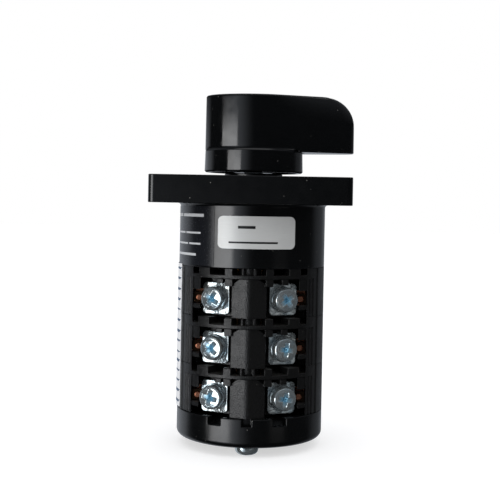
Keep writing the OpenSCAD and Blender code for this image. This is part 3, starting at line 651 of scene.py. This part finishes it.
def lever_outline(back, half_width, reach, tip, count):
    """Points round the lever at one height: a long oval at the axis, drawn out to a round tip."""
    centre = reach - tip
    samples = 720
    points = []
    for k in range(samples):
        t = 2 * math.pi * k / samples
        points.append((back * math.cos(t), half_width * math.sin(t)))
        points.append((centre + tip * math.cos(t), tip * math.sin(t)))
    points = sorted(set((round(x, 9), round(y, 9)) for x, y in points))

    def bends_left(a, b, c):
        return (b[0] - a[0]) * (c[1] - a[1]) > (b[1] - a[1]) * (c[0] - a[0])

    def half(pts):
        chain = []
        for p in pts:
            while len(chain) > 1 and not bends_left(chain[-2], chain[-1], p):
                chain.pop()
            chain.append(p)
        return chain[:-1]

    hull = half(points) + half(points[::-1])
    start = min(range(len(hull)), key=lambda k: hull[k][0])
    hull = hull[start:] + hull[:start]
    total = [0.0]
    for a, b in zip(hull, hull[1:] + hull[:1]):
        total.append(total[-1] + math.dist(a, b))
    even = []
    k = 0
    for step in range(count):
        at = total[-1] * step / count
        while total[k + 1] < at:
            k += 1
        a, b = hull[k], hull[(k + 1) % len(hull)]
        f = (at - total[k]) / max(total[k + 1] - total[k], 1e-12)
        even.append((a[0] + (b[0] - a[0]) * f, a[1] + (b[1] - a[1]) * f))
    return even


def lever_levels(base, top):
    """Heights of the lever's rings, with how far each is drawn in and how far its tip is drawn back."""
    height = top - base
    rows = [(-UNDERSIDE, 0.35 * MM), (-UNDERSIDE + 0.12 * MM, 0.12 * MM), (-UNDERSIDE + 0.35 * MM, 0.0)]
    rows += [(height * f, 0.0) for f in (0.06, 0.2, 0.34, 0.44)]
    arc = [height - NOSE_R + NOSE_R * math.sin(math.radians(a)) for a in range(5, 66, 5)]
    rows += [(h, 0.0) for h in arc if h < height - CROWN_R]
    for a in range(0, 91, 15):
        t = math.radians(a)
        rows.append((height - CROWN_R * (1 - math.sin(t)), CROWN_R * (1 - math.cos(t))))
    levels = []
    for h, inset in sorted(rows):
        over = min(max(0.0, h - (height - NOSE_R)), 0.985 * NOSE_R)
        back = NOSE_R - math.sqrt(NOSE_R**2 - over**2)
        levels.append((base + h, inset + DRAFT * max(h, 0) / height, back))
    return levels


def fill_lever(bm):
    """The lever: rings from its underside to its crown, with the tip's nose drawn back along an arc."""
    low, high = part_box("handle")
    under = None
    for z, inset, back in lever_levels(low.z + SKIRT_H, high.z):
        outline = lever_outline(LEVER_BACK - inset, LEVER_HALF - inset, LEVER_REACH - back - inset, TIP_R - inset, 192)
        ring = [bm.verts.new((x, y, z)) for x, y in outline]
        if under is None:
            bm.faces.new(ring[::-1])
        else:
            skin(bm, under, ring)
        under = ring
    bm.faces.new(under)


def turned(profile, steps=160, ring=False):
    """A function that fills a bmesh with a turned solid. A ring's profile is a closed loop off the axis."""

    def fill(bm):
        if not ring:
            lathe(bm, profile, steps)
            return
        loops = [circle(bm, r, z, steps) for r, z in profile]
        for a, b in zip(loops, loops[1:] + loops[:1]):
            skin(bm, a, b)

    return fill


def plug(radius, low, high, steps=96):
    """A function that fills a bmesh with a round bar on the axis."""
    return turned([(0, low), (radius, low), (radius, high), (0, high)], steps)


def block(half, low, high):
    """A function that fills a bmesh with an upright square bar on the axis."""

    def fill(bm):
        corners = ((-half, -half), (half, -half), (half, half), (-half, half))
        under, over = ([bm.verts.new((x, y, z)) for x, y in corners] for z in (low, high))
        skin(bm, under, over)
        bm.faces.new(under[::-1])
        bm.faces.new(over)

    return fill


def build_handle():
    """The lever and its round skirt as one smooth moulding, hollow below, with the screw's recess on top."""
    low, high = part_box("handle")
    foot, lever = low.z, low.z + SKIRT_H
    obj = solid(fill_lever, "handle_moulding")
    # The lever ends on the skirt's top, and the skirt's edges are drawn in a little, in mm
    combine(obj, solid(plug(SKIRT_R + 0.5 * MM, lever - 2 * MM, lever)), "DIFFERENCE")
    low_edge = [(SKIRT_R - inset * MM, foot + up * MM) for inset, up in ((0.55, 0), (0.2, 0.1), (0, 0.5), (0.08, 3))]
    top_edge = [(SKIRT_R - inset * MM, lever + up * MM) for inset, up in ((0.18, -0.45), (0.28, -0.15), (0.55, 0.01))]
    combine(obj, solid(turned([(0, foot), *low_edge, *top_edge, (0, lever + 0.01 * MM)])), "UNION")
    # The hollow between the skirt's wall and the hub round the shaft
    hub, wall, below, roof = 7 * MM, SKIRT_R - 2.4 * MM, foot - MM, foot + 5.7 * MM
    hollow = [(hub, below), (wall, below), (wall, roof), (hub, roof)]
    combine(obj, solid(turned(hollow, ring=True)), "DIFFERENCE")
    combine(obj, solid(plug(8 * MM, foot - 1.5 * MM, foot + 0.02 * MM)), "DIFFERENCE")
    # The square for the shaft, the screw's hole and the recess for its head
    combine(obj, solid(block(3.05 * MM, foot - 2 * MM, lever + 6.2 * MM)), "DIFFERENCE")
    combine(obj, solid(plug(2.15 * MM, lever + 5 * MM, lever + 12 * MM, 48)), "DIFFERENCE")
    combine(obj, solid(plug(4.8 * MM, lever + 9 * MM, high.z + 2 * MM)), "DIFFERENCE")
    bm = bmesh.new()
    bm.from_mesh(obj.data)
    bpy.data.objects.remove(obj)
    bmesh.ops.remove_doubles(bm, verts=bm.verts, dist=CUT_MERGE)
    bmesh.ops.dissolve_degenerate(bm, edges=bm.edges, dist=CUT_MERGE)
    obj = put("handle_moulding", round_edges(bm, sizes().handle_round, sizes().steps, 38.0), "black_handle_plastic")
    smooth_faces(obj)
    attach(obj, "knob")
    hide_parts("handle")


# Repeated pieces


def scatter(name, shape, places, slot_name, body="housing", node=None):
    """One plain mesh of copies of a shape, each with its own place, turn and, if given, scale.
    Geometry Nodes make them."""
    mesh = bpy.data.meshes.new(name + "_places")
    mesh.from_pydata([p[0] for p in places], [], [])
    for key, part in (("turn", 1), ("size", 2)):
        layer = mesh.attributes.new(key, "FLOAT_VECTOR", "POINT")
        for k, place in enumerate(places):
            layer.data[k].vector = place[part] if len(place) > part else (1, 1, 1)
    points = bpy.data.objects.new(name + "_places", mesh)
    bpy.context.scene.collection.objects.link(points)

    tree = bpy.data.node_groups.new(name + "_scatter", "GeometryNodeTree")
    tree.is_modifier = True
    sockets = {}
    for label, kind in (("Geometry", "Geometry"), ("Shape", "Object"), ("Scale", "Float"), ("Finish", "Material")):
        sockets[label] = tree.interface.new_socket(name=label, in_out="INPUT", socket_type="NodeSocket" + kind)
    sockets["Scale"].default_value = 1.0
    tree.interface.new_socket(name="Geometry", in_out="OUTPUT", socket_type="NodeSocketGeometry")
    given = add_node(tree, "NodeGroupInput")
    source = add_node(
        tree, "GeometryNodeObjectInfo", links={"Object": given.outputs["Shape"]}, transform_space="ORIGINAL"
    )
    turn = add_node(tree, "GeometryNodeInputNamedAttribute", values={"Name": "turn"}, data_type="FLOAT_VECTOR")
    size = add_node(tree, "GeometryNodeInputNamedAttribute", values={"Name": "size"}, data_type="FLOAT_VECTOR")
    rotation = add_node(tree, "FunctionNodeEulerToRotation", links={"Euler": turn.outputs["Attribute"]})
    scale = add_node(
        tree, VECTOR_MATH, {0: size.outputs["Attribute"], "Scale": given.outputs["Scale"]}, operation="SCALE"
    )
    copies = add_node(
        tree,
        "GeometryNodeInstanceOnPoints",
        links={
            "Points": given.outputs["Geometry"],
            "Instance": source.outputs["Geometry"],
            "Rotation": rotation.outputs[0],
            "Scale": scale.outputs[0],
        },
    )
    real = add_node(tree, "GeometryNodeRealizeInstances", links={"Geometry": copies.outputs[0]})
    painted = add_node(
        tree, "GeometryNodeSetMaterial", links={"Geometry": real.outputs[0], "Material": given.outputs["Finish"]}
    )
    add_node(tree, "NodeGroupOutput", links={0: painted.outputs[0]})

    step = points.modifiers.new("Scatter", "NODES")
    step.node_group = tree
    step[sockets["Shape"].identifier] = shape
    step[sockets["Scale"].identifier] = 1.0
    step[sockets["Finish"].identifier] = finish(slot_name)
    bake(points)
    made = points.data
    bpy.data.objects.remove(points)
    bpy.data.objects.remove(shape)
    obj = bpy.data.objects.new(name, made)
    made.name = name
    bpy.context.scene.collection.objects.link(obj)
    for key in ("turn", "size"):
        if key in made.attributes:
            made.attributes.remove(made.attributes[key])
    smooth_faces(obj, 40.0)
    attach(obj, body)
    if node:
        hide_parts(node)
    return obj


def terminal_places(out, spins):
    """Place and turn of each of the 12 terminals, moved outwards along its own axis.
    A shape drawn round +Z turns to face outwards, after a spin about its own axis."""
    places = []
    spin = iter(spins)
    for layer in LAYERS:
        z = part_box("contact_block_%d" % layer)[1].z - TERM_Z
        for rear in (False, True):
            for right in (False, True):
                x = TERM_X if right else -TERM_X
                y = -TERM_Y if not rear else TERM_Y
                lean = TERM_TURN if right else -TERM_TURN
                normal = Vector((math.sin(lean), -math.cos(lean), 0))
                if rear:
                    normal.y = -normal.y
                facing = math.atan2(normal.x, -normal.y)
                point = Vector((x, y, z)) + normal * out
                places.append((point, (math.pi / 2, next(spin), facing)))
    return places


def recess_depth(x, y):
    """Depth of the cross recess at a point of the head, as a share of its full depth.
    Each arm has sloping walls and gets deeper towards its root, and a round pit lies in the middle."""
    s = sizes()
    half, width = s.arm_length / 2, s.arm_width / 2
    root = 0.3 * half
    best = 0.0
    for u, v in ((abs(x), abs(y)), (abs(y), abs(x))):
        if u < half and v < width:
            wall = min(1.0, (width - v) / (0.3 * width))
            arm = 0.62 if u > root else 1.0 - 0.38 * u / root
            best = max(best, (1 - (u / half) ** 1.6) * wall * arm)
    core = math.hypot(x, y) / (0.42 * half)
    return max(best, 1 - core**2 if core < 1 else 0.0)


def screw_shape(head_r, head_h, shank_r, shank_length, scale=1.0, shoulder=0.8 * MM):
    """A pan-head screw round +Z with a tapered cross recess. Its head's underside lies at the origin.
    The head's top falls by its crown to the shoulder, which is an arc. The recess attribute marks the cross."""
    crown = 0.42 * MM
    pitch = 0.09 * MM
    flat = head_r - 0.1 * MM - shoulder
    steps = 112
    radii = [pitch * k for k in range(1, int(flat / pitch))]
    radii += [flat + shoulder * math.sin(math.radians(a)) for a in (0, 12, 25, 38, 51, 64, 77, 90)]
    deepest = sizes().arm_depth * scale

    def top(r):
        low = head_h - crown * min(r / flat, 1) ** 2
        return low if r <= flat else low - shoulder + math.sqrt(max(0.0, shoulder**2 - (r - flat) ** 2))

    def fill(bm):
        mark = bm.verts.layers.float.new("recess")
        centre = bm.verts.new((0, 0, top(0) - deepest))
        centre[mark] = 1.0
        before = None
        for r in radii:
            ring = circle(bm, r, top(r), steps)
            for vert in ring:
                deep = recess_depth(vert.co.x / scale, vert.co.y / scale)
                vert.co.z -= deep * deepest
                vert[mark] = min(1.0, deep * 1.3)
            if before is None:
                for k in range(steps):
                    bm.faces.new((centre, ring[k], ring[(k + 1) % steps]))
            else:
                skin(bm, before, ring)
            before = ring
        underside = [(head_r, 0.14 * MM), (head_r - 0.05 * MM, 0.04 * MM), (head_r - 0.16 * MM, 0), (shank_r, 0)]
        point = [(shank_r, -shank_length + 0.3 * MM), (shank_r - 0.3 * MM, -shank_length)]
        for r, z in underside + point:
            ring = circle(bm, r, z, steps)
            skin(bm, before, ring)
            before = ring
        bm.faces.new(before)

    return solid(fill, "screw_shape")


def split_ring(outer, inner, thick, gap, lift):
    """A spring washer round +Z: a flat wire ring with a slit, its two ends a little apart."""

    def fill(bm):
        edge = 0.2 * MM
        section = [(inner, edge), (inner + edge, 0), (outer - edge, 0), (outer, edge)]
        section += [(outer, thick - edge), (outer - edge, thick), (inner + edge, thick), (inner, thick - edge)]
        steps = 72
        squeeze = 1 - abs(lift) / thick
        before = first = None
        for k in range(steps + 1):
            f = k / steps
            a = gap / 2 / outer + (2 * math.pi - gap / outer) * f
            rise = lift * (f - 0.5)
            ring = [
                bm.verts.new((r * math.cos(a), r * math.sin(a), thick / 2 + (z - thick / 2) * squeeze + rise))
                for r, z in section
            ]
            if before:
                skin(bm, before, ring)
            else:
                first = ring
            before = ring
        bm.faces.new(first[::-1])
        bm.faces.new(before)

    return solid(fill)


# Labels


def wrapped_sheet(bm, inner, outer, left, right, low, high, across=24, up=2, lift=lambda a: 0.0):
    """A thin sheet round the body. left and right give its edges' angles from the front at a share of its height,
    and lift says how far it stands off the body at an angle."""

    def spot(r, i, j):
        f = j / up
        a = left(f) + (right(f) - left(f)) * i / across
        out = r + lift(a)
        return bm.verts.new((out * math.sin(a), -out * math.cos(a), low + (high - low) * f))

    near = [[spot(outer, i, j) for i in range(across + 1)] for j in range(up + 1)]
    far = [[spot(inner, i, j) for i in range(across + 1)] for j in range(up + 1)]
    for j in range(up):
        skin(bm, near[j], near[j + 1], closed=False)
        skin(bm, far[j + 1], far[j], closed=False)
        for i, flip in ((0, True), (across, False)):
            face = [near[j][i], near[j + 1][i], far[j + 1][i], far[j][i]]
            bm.faces.new(face if flip else face[::-1])
    for j, flip in ((0, False), (up, True)):
        for i in range(across):
            face = [near[j][i], near[j][i + 1], far[j][i + 1], far[j][i]]
            bm.faces.new(face if flip else face[::-1])


def label_marks(name, marks, finish_name):
    """Flat printed marks on a label: each one from angle to angle, between two heights in millimetres."""
    bm = bmesh.new()
    face = BODY_R + LABEL_T
    for a, b, low, high in marks:
        wrapped_sheet(
            bm,
            face - INK_SUNK,
            face + INK_T,
            lambda f, a=a: math.radians(a),
            lambda f, b=b: math.radians(b),
            low * MM,
            high * MM,
            across=max(2, int(abs(b - a))),
            up=1,
        )
    bmesh.ops.recalc_face_normals(bm, faces=bm.faces)
    obj = put(name, bm, finish_name)
    smooth_faces(obj)
    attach(obj, "housing")


# Stage


def area_light(name, place, target, width, height, power):
    """A soft lamp at a place, turned to its target and unseen by the camera."""
    data = bpy.data.lights.new(name, "AREA")
    data.shape = "RECTANGLE"
    data.size, data.size_y = width, height
    data.energy = power
    lamp = bpy.data.objects.new(name, data)
    bpy.context.scene.collection.objects.link(lamp)
    lamp.location = place
    lamp.rotation_euler = (Vector(target) - Vector(place)).to_track_quat("-Z", "Y").to_euler()
    lamp.visible_camera = False


def build_floor(scene, backdrop):
    """A plain pale floor that keeps the switch's shadow. For the camera it adds backdrop to its own white."""
    half = 3.0
    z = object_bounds()[0].z - 0.02 * MM
    mesh = bpy.data.meshes.new("floor")
    mesh.from_pydata([(-half, -half, z), (half, -half, z), (half, half, z), (-half, half, z)], [], [(0, 1, 2, 3)])
    floor = bpy.data.objects.new("floor", mesh)
    scene.collection.objects.link(floor)
    material = bpy.data.materials.new("Paper backdrop matt white")
    material.use_nodes = True
    tree = material.node_tree
    tree.nodes.clear()
    path = add_node(tree, "ShaderNodeLightPath")
    paper = add_node(tree, "ShaderNodeBsdfDiffuse", values={"Color": linear("#c4c4c4")})
    seen = add_node(tree, MATH, {0: path.outputs["Is Camera Ray"]}, {1: backdrop}, operation="MULTIPLY")
    glow = add_node(tree, "ShaderNodeEmission", {"Strength": seen}, {"Color": (1, 1, 1, 1)})
    both = add_node(tree, "ShaderNodeAddShader", {0: paper, 1: glow})
    # Gloss doesn't see the floor, so the black mouldings stay deep black near it
    clear = add_node(tree, "ShaderNodeBsdfTransparent")
    final = add_node(tree, "ShaderNodeMixShader", {0: path.outputs["Is Glossy Ray"], 1: both, 2: clear})
    add_node(tree, "ShaderNodeOutputMaterial", {"Surface": final})
    mesh.materials.append(material)
    floor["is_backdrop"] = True


def build_world(scene, back, right, up):
    """Even light from all round, white for the camera, and a room for gloss to show."""
    stage = scene.switch_stage
    world = bpy.data.worlds.new("Studio")
    scene.world = world
    world.use_nodes = True
    tree = world.node_tree
    tree.nodes.clear()
    path = add_node(tree, "ShaderNodeLightPath")
    way = add_node(tree, "ShaderNodeTexCoord").outputs["Generated"]
    # What gloss sees: the white backdrop behind the switch, paler on the right, a dim room in front,
    # and a cool ceiling that gets lighter upwards
    axes = add_node(tree, "ShaderNodeSeparateXYZ", {"Vector": way})
    facing = add_node(tree, VECTOR_MATH, {0: way}, {1: back}, operation="DOT_PRODUCT").outputs["Value"]
    fade = {"From Min": -0.5, "From Max": -0.25, "To Min": 1.0, "To Max": 0.0}
    behind = add_node(tree, RANGE, {"Value": facing}, fade)
    fade = {"From Min": 0.03, "From Max": 0.12, "To Min": 1.0, "To Max": 0.12}
    low = add_node(tree, RANGE, {"Value": axes.outputs["Z"]}, fade)
    fade = {"From Min": -0.6, "From Max": 0.6, "To Min": 0.7, "To Max": 0.17}
    side = add_node(tree, RANGE, {"Value": axes.outputs["X"]}, fade)
    sheet = add_node(tree, MATH, {0: behind, 1: low}, operation="MULTIPLY")
    sheet = add_node(tree, MATH, {0: sheet, 1: side}, operation="MULTIPLY")
    fade = {"From Min": 0.16, "From Max": 0.6, "To Min": stage.room, "To Max": 0.16}
    ceiling = add_node(tree, RANGE, {"Value": axes.outputs["Z"]}, fade)
    # The wall beside the window glows, less and less towards the camera
    beside = math.radians(35)
    middle = (back * math.cos(beside) - right * math.sin(beside) - up * 0.21).normalized()
    wall = add_node(tree, VECTOR_MATH, {0: way}, {1: middle}, operation="DOT_PRODUCT").outputs["Value"]
    near = add_node(tree, RANGE, {"Value": wall}, {"From Min": 0.76, "From Max": 0.99})
    cubed = add_node(tree, MATH, {0: near}, {1: 3.0}, operation="POWER")
    glow = add_node(tree, MATH, {0: cubed}, {1: 1.4}, operation="MULTIPLY")
    room = add_node(tree, MATH, {0: sheet, 1: ceiling}, operation="MAXIMUM")
    room = add_node(tree, MATH, {0: room, 1: glow}, operation="ADD")
    gloss = add_node(tree, "ShaderNodeBackground", {"Strength": room}, {"Color": linear("#eef5ff")})
    even = add_node(tree, "ShaderNodeBackground", values={"Color": linear("#fbfcff"), "Strength": stage.ambient})
    white = add_node(tree, "ShaderNodeBackground", values={"Color": (1, 1, 1, 1), "Strength": 1.0})
    shiny = add_node(tree, "ShaderNodeMixShader", {0: path.outputs["Is Glossy Ray"], 1: even, 2: gloss})
    straight = {0: path.outputs["Is Camera Ray"], 1: path.outputs["Is Transmission Ray"]}
    plain = add_node(tree, MATH, straight, operation="MAXIMUM")
    final = add_node(tree, "ShaderNodeMixShader", {0: plain, 1: shiny, 2: white})
    add_node(tree, "ShaderNodeOutputWorld", {"Surface": final})


def build_lamps(window_power, back, right, up):
    """A soft window at the left, a dim card low on the right and a wide ceiling lamp."""
    middle = Vector((0, 0, -0.03))
    away = 0.9
    window = math.radians(46.5)
    place = middle + (back * math.cos(window) - right * math.sin(window)) * away
    area_light("Window", place - up * 0.1, middle - up * 0.1, width=0.52, height=0.46, power=window_power)
    # The right-hand screws and washers mirror this card
    card = math.radians(44)
    place = middle + (back * math.cos(card) + right * math.sin(card)) * away - up * 0.165
    area_light("Card", place, middle, width=0.36, height=0.15, power=window_power * 0.02)
    place = middle + up * 1.0 + back * 0.2
    area_light("Ceiling", place, middle, width=0.9, height=0.9, power=window_power * 0.45)


def build_camera(scene, back, right, up):
    """The camera, level with the flange and turned a little about its own axis."""
    stage = scene.switch_stage
    camera = bpy.data.objects.new("Camera", bpy.data.cameras.new("Camera"))
    scene.collection.objects.link(camera)
    scene.camera = camera
    camera.data.sensor_width = 36
    camera.data.lens = stage.lens
    camera.data.shift_x, camera.data.shift_y = SHIFT_X, SHIFT_Y
    camera.data.clip_start, camera.data.clip_end = 0.01, 20
    roll = stage.roll
    side = right * math.cos(roll) + up * math.sin(roll)
    head = up * math.cos(roll) - right * math.sin(roll)
    turn = Matrix((side, head, back)).transposed().to_4x4()
    turn.translation = back * stage.distance + up * stage.height
    camera.matrix_world = turn


def build_stage(scene):
    """Floor, world, lamps and camera, all set out from the camera's angle round the switch."""
    stage = scene.switch_stage
    back = Vector((math.sin(stage.azimuth), -math.cos(stage.azimuth), 0))
    right = Vector((math.cos(stage.azimuth), math.sin(stage.azimuth), 0))
    up = Vector((0, 0, 1))
    build_floor(scene, stage.backdrop)
    build_world(scene, back, right, up)
    build_lamps(stage.window, back, right, up)
    build_camera(scene, back, right, up)


# Operators


class SWITCH_OT_mouldings(bpy.types.Operator):
    """Rounds the edges of the housing, the end cap and the contact blocks and gives them their plastic"""

    bl_idname = "switch.mouldings"
    bl_label = "Mouldings"

    def execute(self, context):
        s = sizes()
        dressed("front_housing", "front_housing_moulding", s.moulding_round, "black_housing_plastic")
        dressed(
            "end_cap", "end_cap_moulding", s.moulding_round, "black_housing_plastic", finish_name="black_cap_plastic"
        )
        for layer in LAYERS:
            name = "contact_block_%d" % layer
            dressed(name, name + "_moulding", s.block_round, "black_block_plastic")
        return {"FINISHED"}


class SWITCH_OT_handle(bpy.types.Operator):
    """Makes the lever handle"""

    bl_idname = "switch.handle"
    bl_label = "Handle"

    def execute(self, context):
        build_handle()
        return {"FINISHED"}


class SWITCH_OT_screws(bpy.types.Operator):
    """Makes the terminal screws, the tie screws and the handle's screw"""

    bl_idname = "switch.screws"
    bl_label = "Screws"

    def execute(self, context):
        shape = screw_shape(HEAD_R, HEAD_H, SCREW_R, SCREW_LENGTH)
        spins = [math.radians(a) for a in SCREW_SPINS]
        obj = scatter(
            "terminal_screw_set", shape, terminal_places(WASHER_T, spins), "zinc_plated_steel", node="terminal_screws"
        )
        low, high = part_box("tie_screws")
        shape = screw_shape(HEAD_R, HEAD_H, SCREW_R, high.z - low.z - HEAD_H, shoulder=TIE_SHOULDER)
        down = [((0, s * TIE_Y, low.z + HEAD_H), (math.pi, 0, spin)) for s, spin in ((-1, 0.35), (1, 1.1))]
        obj = scatter("tie_screw_pair", shape, down, "zinc_plated_steel", node="tie_screws")
        low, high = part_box("handle_screw")
        scale = HANDLE_SCREW_SCALE
        shape = screw_shape(HEAD_R * scale, HEAD_H, HANDLE_SCREW_R, high.z - low.z - HEAD_H, scale)
        top = [((0, 0, high.z - HEAD_H), (0, 0, 0.5))]
        obj = scatter("handle_screw_dressed", shape, top, "zinc_plated_steel", body="knob", node="handle_screw")
        return {"FINISHED"}


class SWITCH_OT_washers(bpy.types.Operator):
    """Makes the spring washers and rounds the square clamp washers"""

    bl_idname = "switch.washers"
    bl_label = "Washers"

    def execute(self, context):
        draw = random.Random(7)
        spins = [draw.uniform(0, 2 * math.pi) for _ in range(12)]
        outer, inner = sizes().spring_washer / 2, SCREW_R + 0.15 * MM
        ring = split_ring(outer, inner, thick=WASHER_T, gap=1.0 * MM, lift=0.16 * MM)
        obj = scatter("spring_washer_set", ring, terminal_places(0, spins), "zinc_plated_steel", node="spring_washers")
        dressed("clamp_washers", "clamp_washer_set", sizes().sheet_round, "zinc_plated_steel")
        dressed("handle_washer", "handle_washer_dressed", sizes().sheet_round, "zinc_plated_steel", "knob")
        return {"FINISHED"}


class SWITCH_OT_labels(bpy.types.Operator):
    """Makes the silver sticker, the black sticker and the paper strip, with their plain printed marks"""

    bl_idname = "switch.labels"
    bl_label = "Labels"

    def execute(self, context):
        dressed("front_label", "front_sticker", 0.03 * MM, "silver_label")
        dressed("rating_label", "rating_sticker", 0.03 * MM, "black_label")
        draw = random.Random(3)
        low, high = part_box("side_label")
        wave = [(draw.uniform(-0.35, 0.35), draw.uniform(1, 7), draw.uniform(0, 6.3)) for _ in range(4)]

        def edge(f):
            """The strip's torn right edge"""
            ragged = sum(a * math.sin(2 * math.pi * n * f + p) for a, n, p in wave)
            return math.radians(STRIP_RIGHT - 0.5 + ragged * 0.45)

        def loose(a):
            """How far the strip's middle stands off the flank"""
            share = min(max((math.degrees(a) - STRIP_LEFT) / (STRIP_RIGHT - STRIP_LEFT), 0.0), 1.0)
            return 0.3 * MM * math.sin(math.pi * share) ** 2

        bm = bmesh.new()
        inner, outer = BODY_R + 0.01 * MM, BODY_R + LABEL_T
        wrapped_sheet(bm, inner, outer, lambda f: math.radians(STRIP_LEFT), edge, low.z, high.z, 40, 60, loose)
        bmesh.ops.recalc_face_normals(bm, faces=bm.faces)
        strip = put("side_paper_strip", bm, "white_label")
        smooth_faces(strip)
        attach(strip, "housing")
        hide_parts("side_label")

        def tick(bm):
            start, end = (lambda f: math.radians(-89 + 4 * f)), (lambda f: math.radians(-73 + 4 * f))
            half = 0.3 * MM
            wrapped_sheet(bm, outer - INK_SUNK, outer + INK_T, start, end, -half, half, 16, 1, loose)

        # The ticks lie 2.9 to 3.8 mm apart, from the top down, none quite level or as thick as the next
        rows = []
        z = high.z - 1.6 * MM
        while z > low.z + 1.5 * MM:
            rows.append(((0, 0, z), (0, 0, math.radians(draw.uniform(-0.5, 0.5))), (1, 1, draw.uniform(0.8, 1.6))))
            z -= draw.uniform(2.9, 3.8) * MM
        ticks = scatter("side_strip_marks", solid(tick, "tick"), rows, "label_ink")
        label_marks("rating_sticker_lines", RATING_LINES, "label_print")
        label_marks("front_sticker_lines", STICKER_LINES, "label_rule")
        return {"FINISHED"}


class SWITCH_OT_metalwork(bpy.types.Operator):
    """Rounds the rivets and gives the contact strips, springs, shaft, cams and followers their finish"""

    bl_idname = "switch.metalwork"
    bl_label = "Metalwork and inner parts"

    def execute(self, context):
        dressed("contact_rivets", "contact_rivet_set", 0.35 * MM, "copper")
        for body in frame["record"]["behaviour"]["bodies"]:
            if body.startswith("contact_carrier_"):
                sprung(body.replace("contact_carrier", "return_spring"))
        slots = {part["node"]: part["material_slot"] for part in frame["record"]["subparts"]}
        for node, obj in frame["nodes"].items():
            if obj.hide_render:
                continue
            # The fixed contact strips take the brass that is darkened as painted shade of their bays
            material = finish("brass_strip" if node.startswith("fixed_contact") else slots[node])
            if obj.data.materials:
                for held in obj.material_slots:
                    held.material = material
            else:
                obj.data.materials.append(material)
        return {"FINISHED"}


class SWITCH_OT_stage(bpy.types.Operator):
    """Makes the floor, the lights and the camera"""

    bl_idname = "switch.stage"
    bl_label = "Stage"

    def execute(self, context):
        build_stage(context.scene)
        return {"FINISHED"}


class SWITCH_PT_panel(bpy.types.Panel):
    """Lists the switch's pieces and settings"""

    bl_idname = "SWITCH_PT_panel"
    bl_label = "Cam switch"
    bl_space_type = "VIEW_3D"
    bl_region_type = "UI"
    bl_category = "Cam switch"

    def draw(self, context):
        for group in (context.scene.switch_colours, context.scene.switch_sizes, context.scene.switch_stage):
            box = self.layout.box()
            for key in group.__annotations__:
                box.prop(group, key)
        for operator in OPERATORS:
            self.layout.operator(operator.bl_idname)


OPERATORS = (
    SWITCH_OT_mouldings,
    SWITCH_OT_handle,
    SWITCH_OT_screws,
    SWITCH_OT_washers,
    SWITCH_OT_labels,
    SWITCH_OT_metalwork,
    SWITCH_OT_stage,
)
GROUPS = {"switch_colours": SwitchColours, "switch_sizes": SwitchSizes, "switch_stage": StageSettings}


def register():
    for made in (*GROUPS.values(), *OPERATORS, SWITCH_PT_panel):
        bpy.utils.register_class(made)
    for name, made in GROUPS.items():
        setattr(bpy.types.Scene, name, PointerProperty(type=made))


def unregister():
    for name in GROUPS:
        delattr(bpy.types.Scene, name)
    for made in (SWITCH_PT_panel, *OPERATORS, *GROUPS.values()):
        bpy.utils.unregister_class(made)


def main():
    """Runs the operators in order."""
    register()
    bpy.context.scene.view_settings.view_transform = "Standard"
    bpy.ops.switch.mouldings()
    bpy.ops.switch.handle()
    bpy.ops.switch.screws()
    bpy.ops.switch.washers()
    bpy.ops.switch.labels()
    bpy.ops.switch.metalwork()
    bpy.ops.switch.stage()


if __name__ == "__main__":
    main()
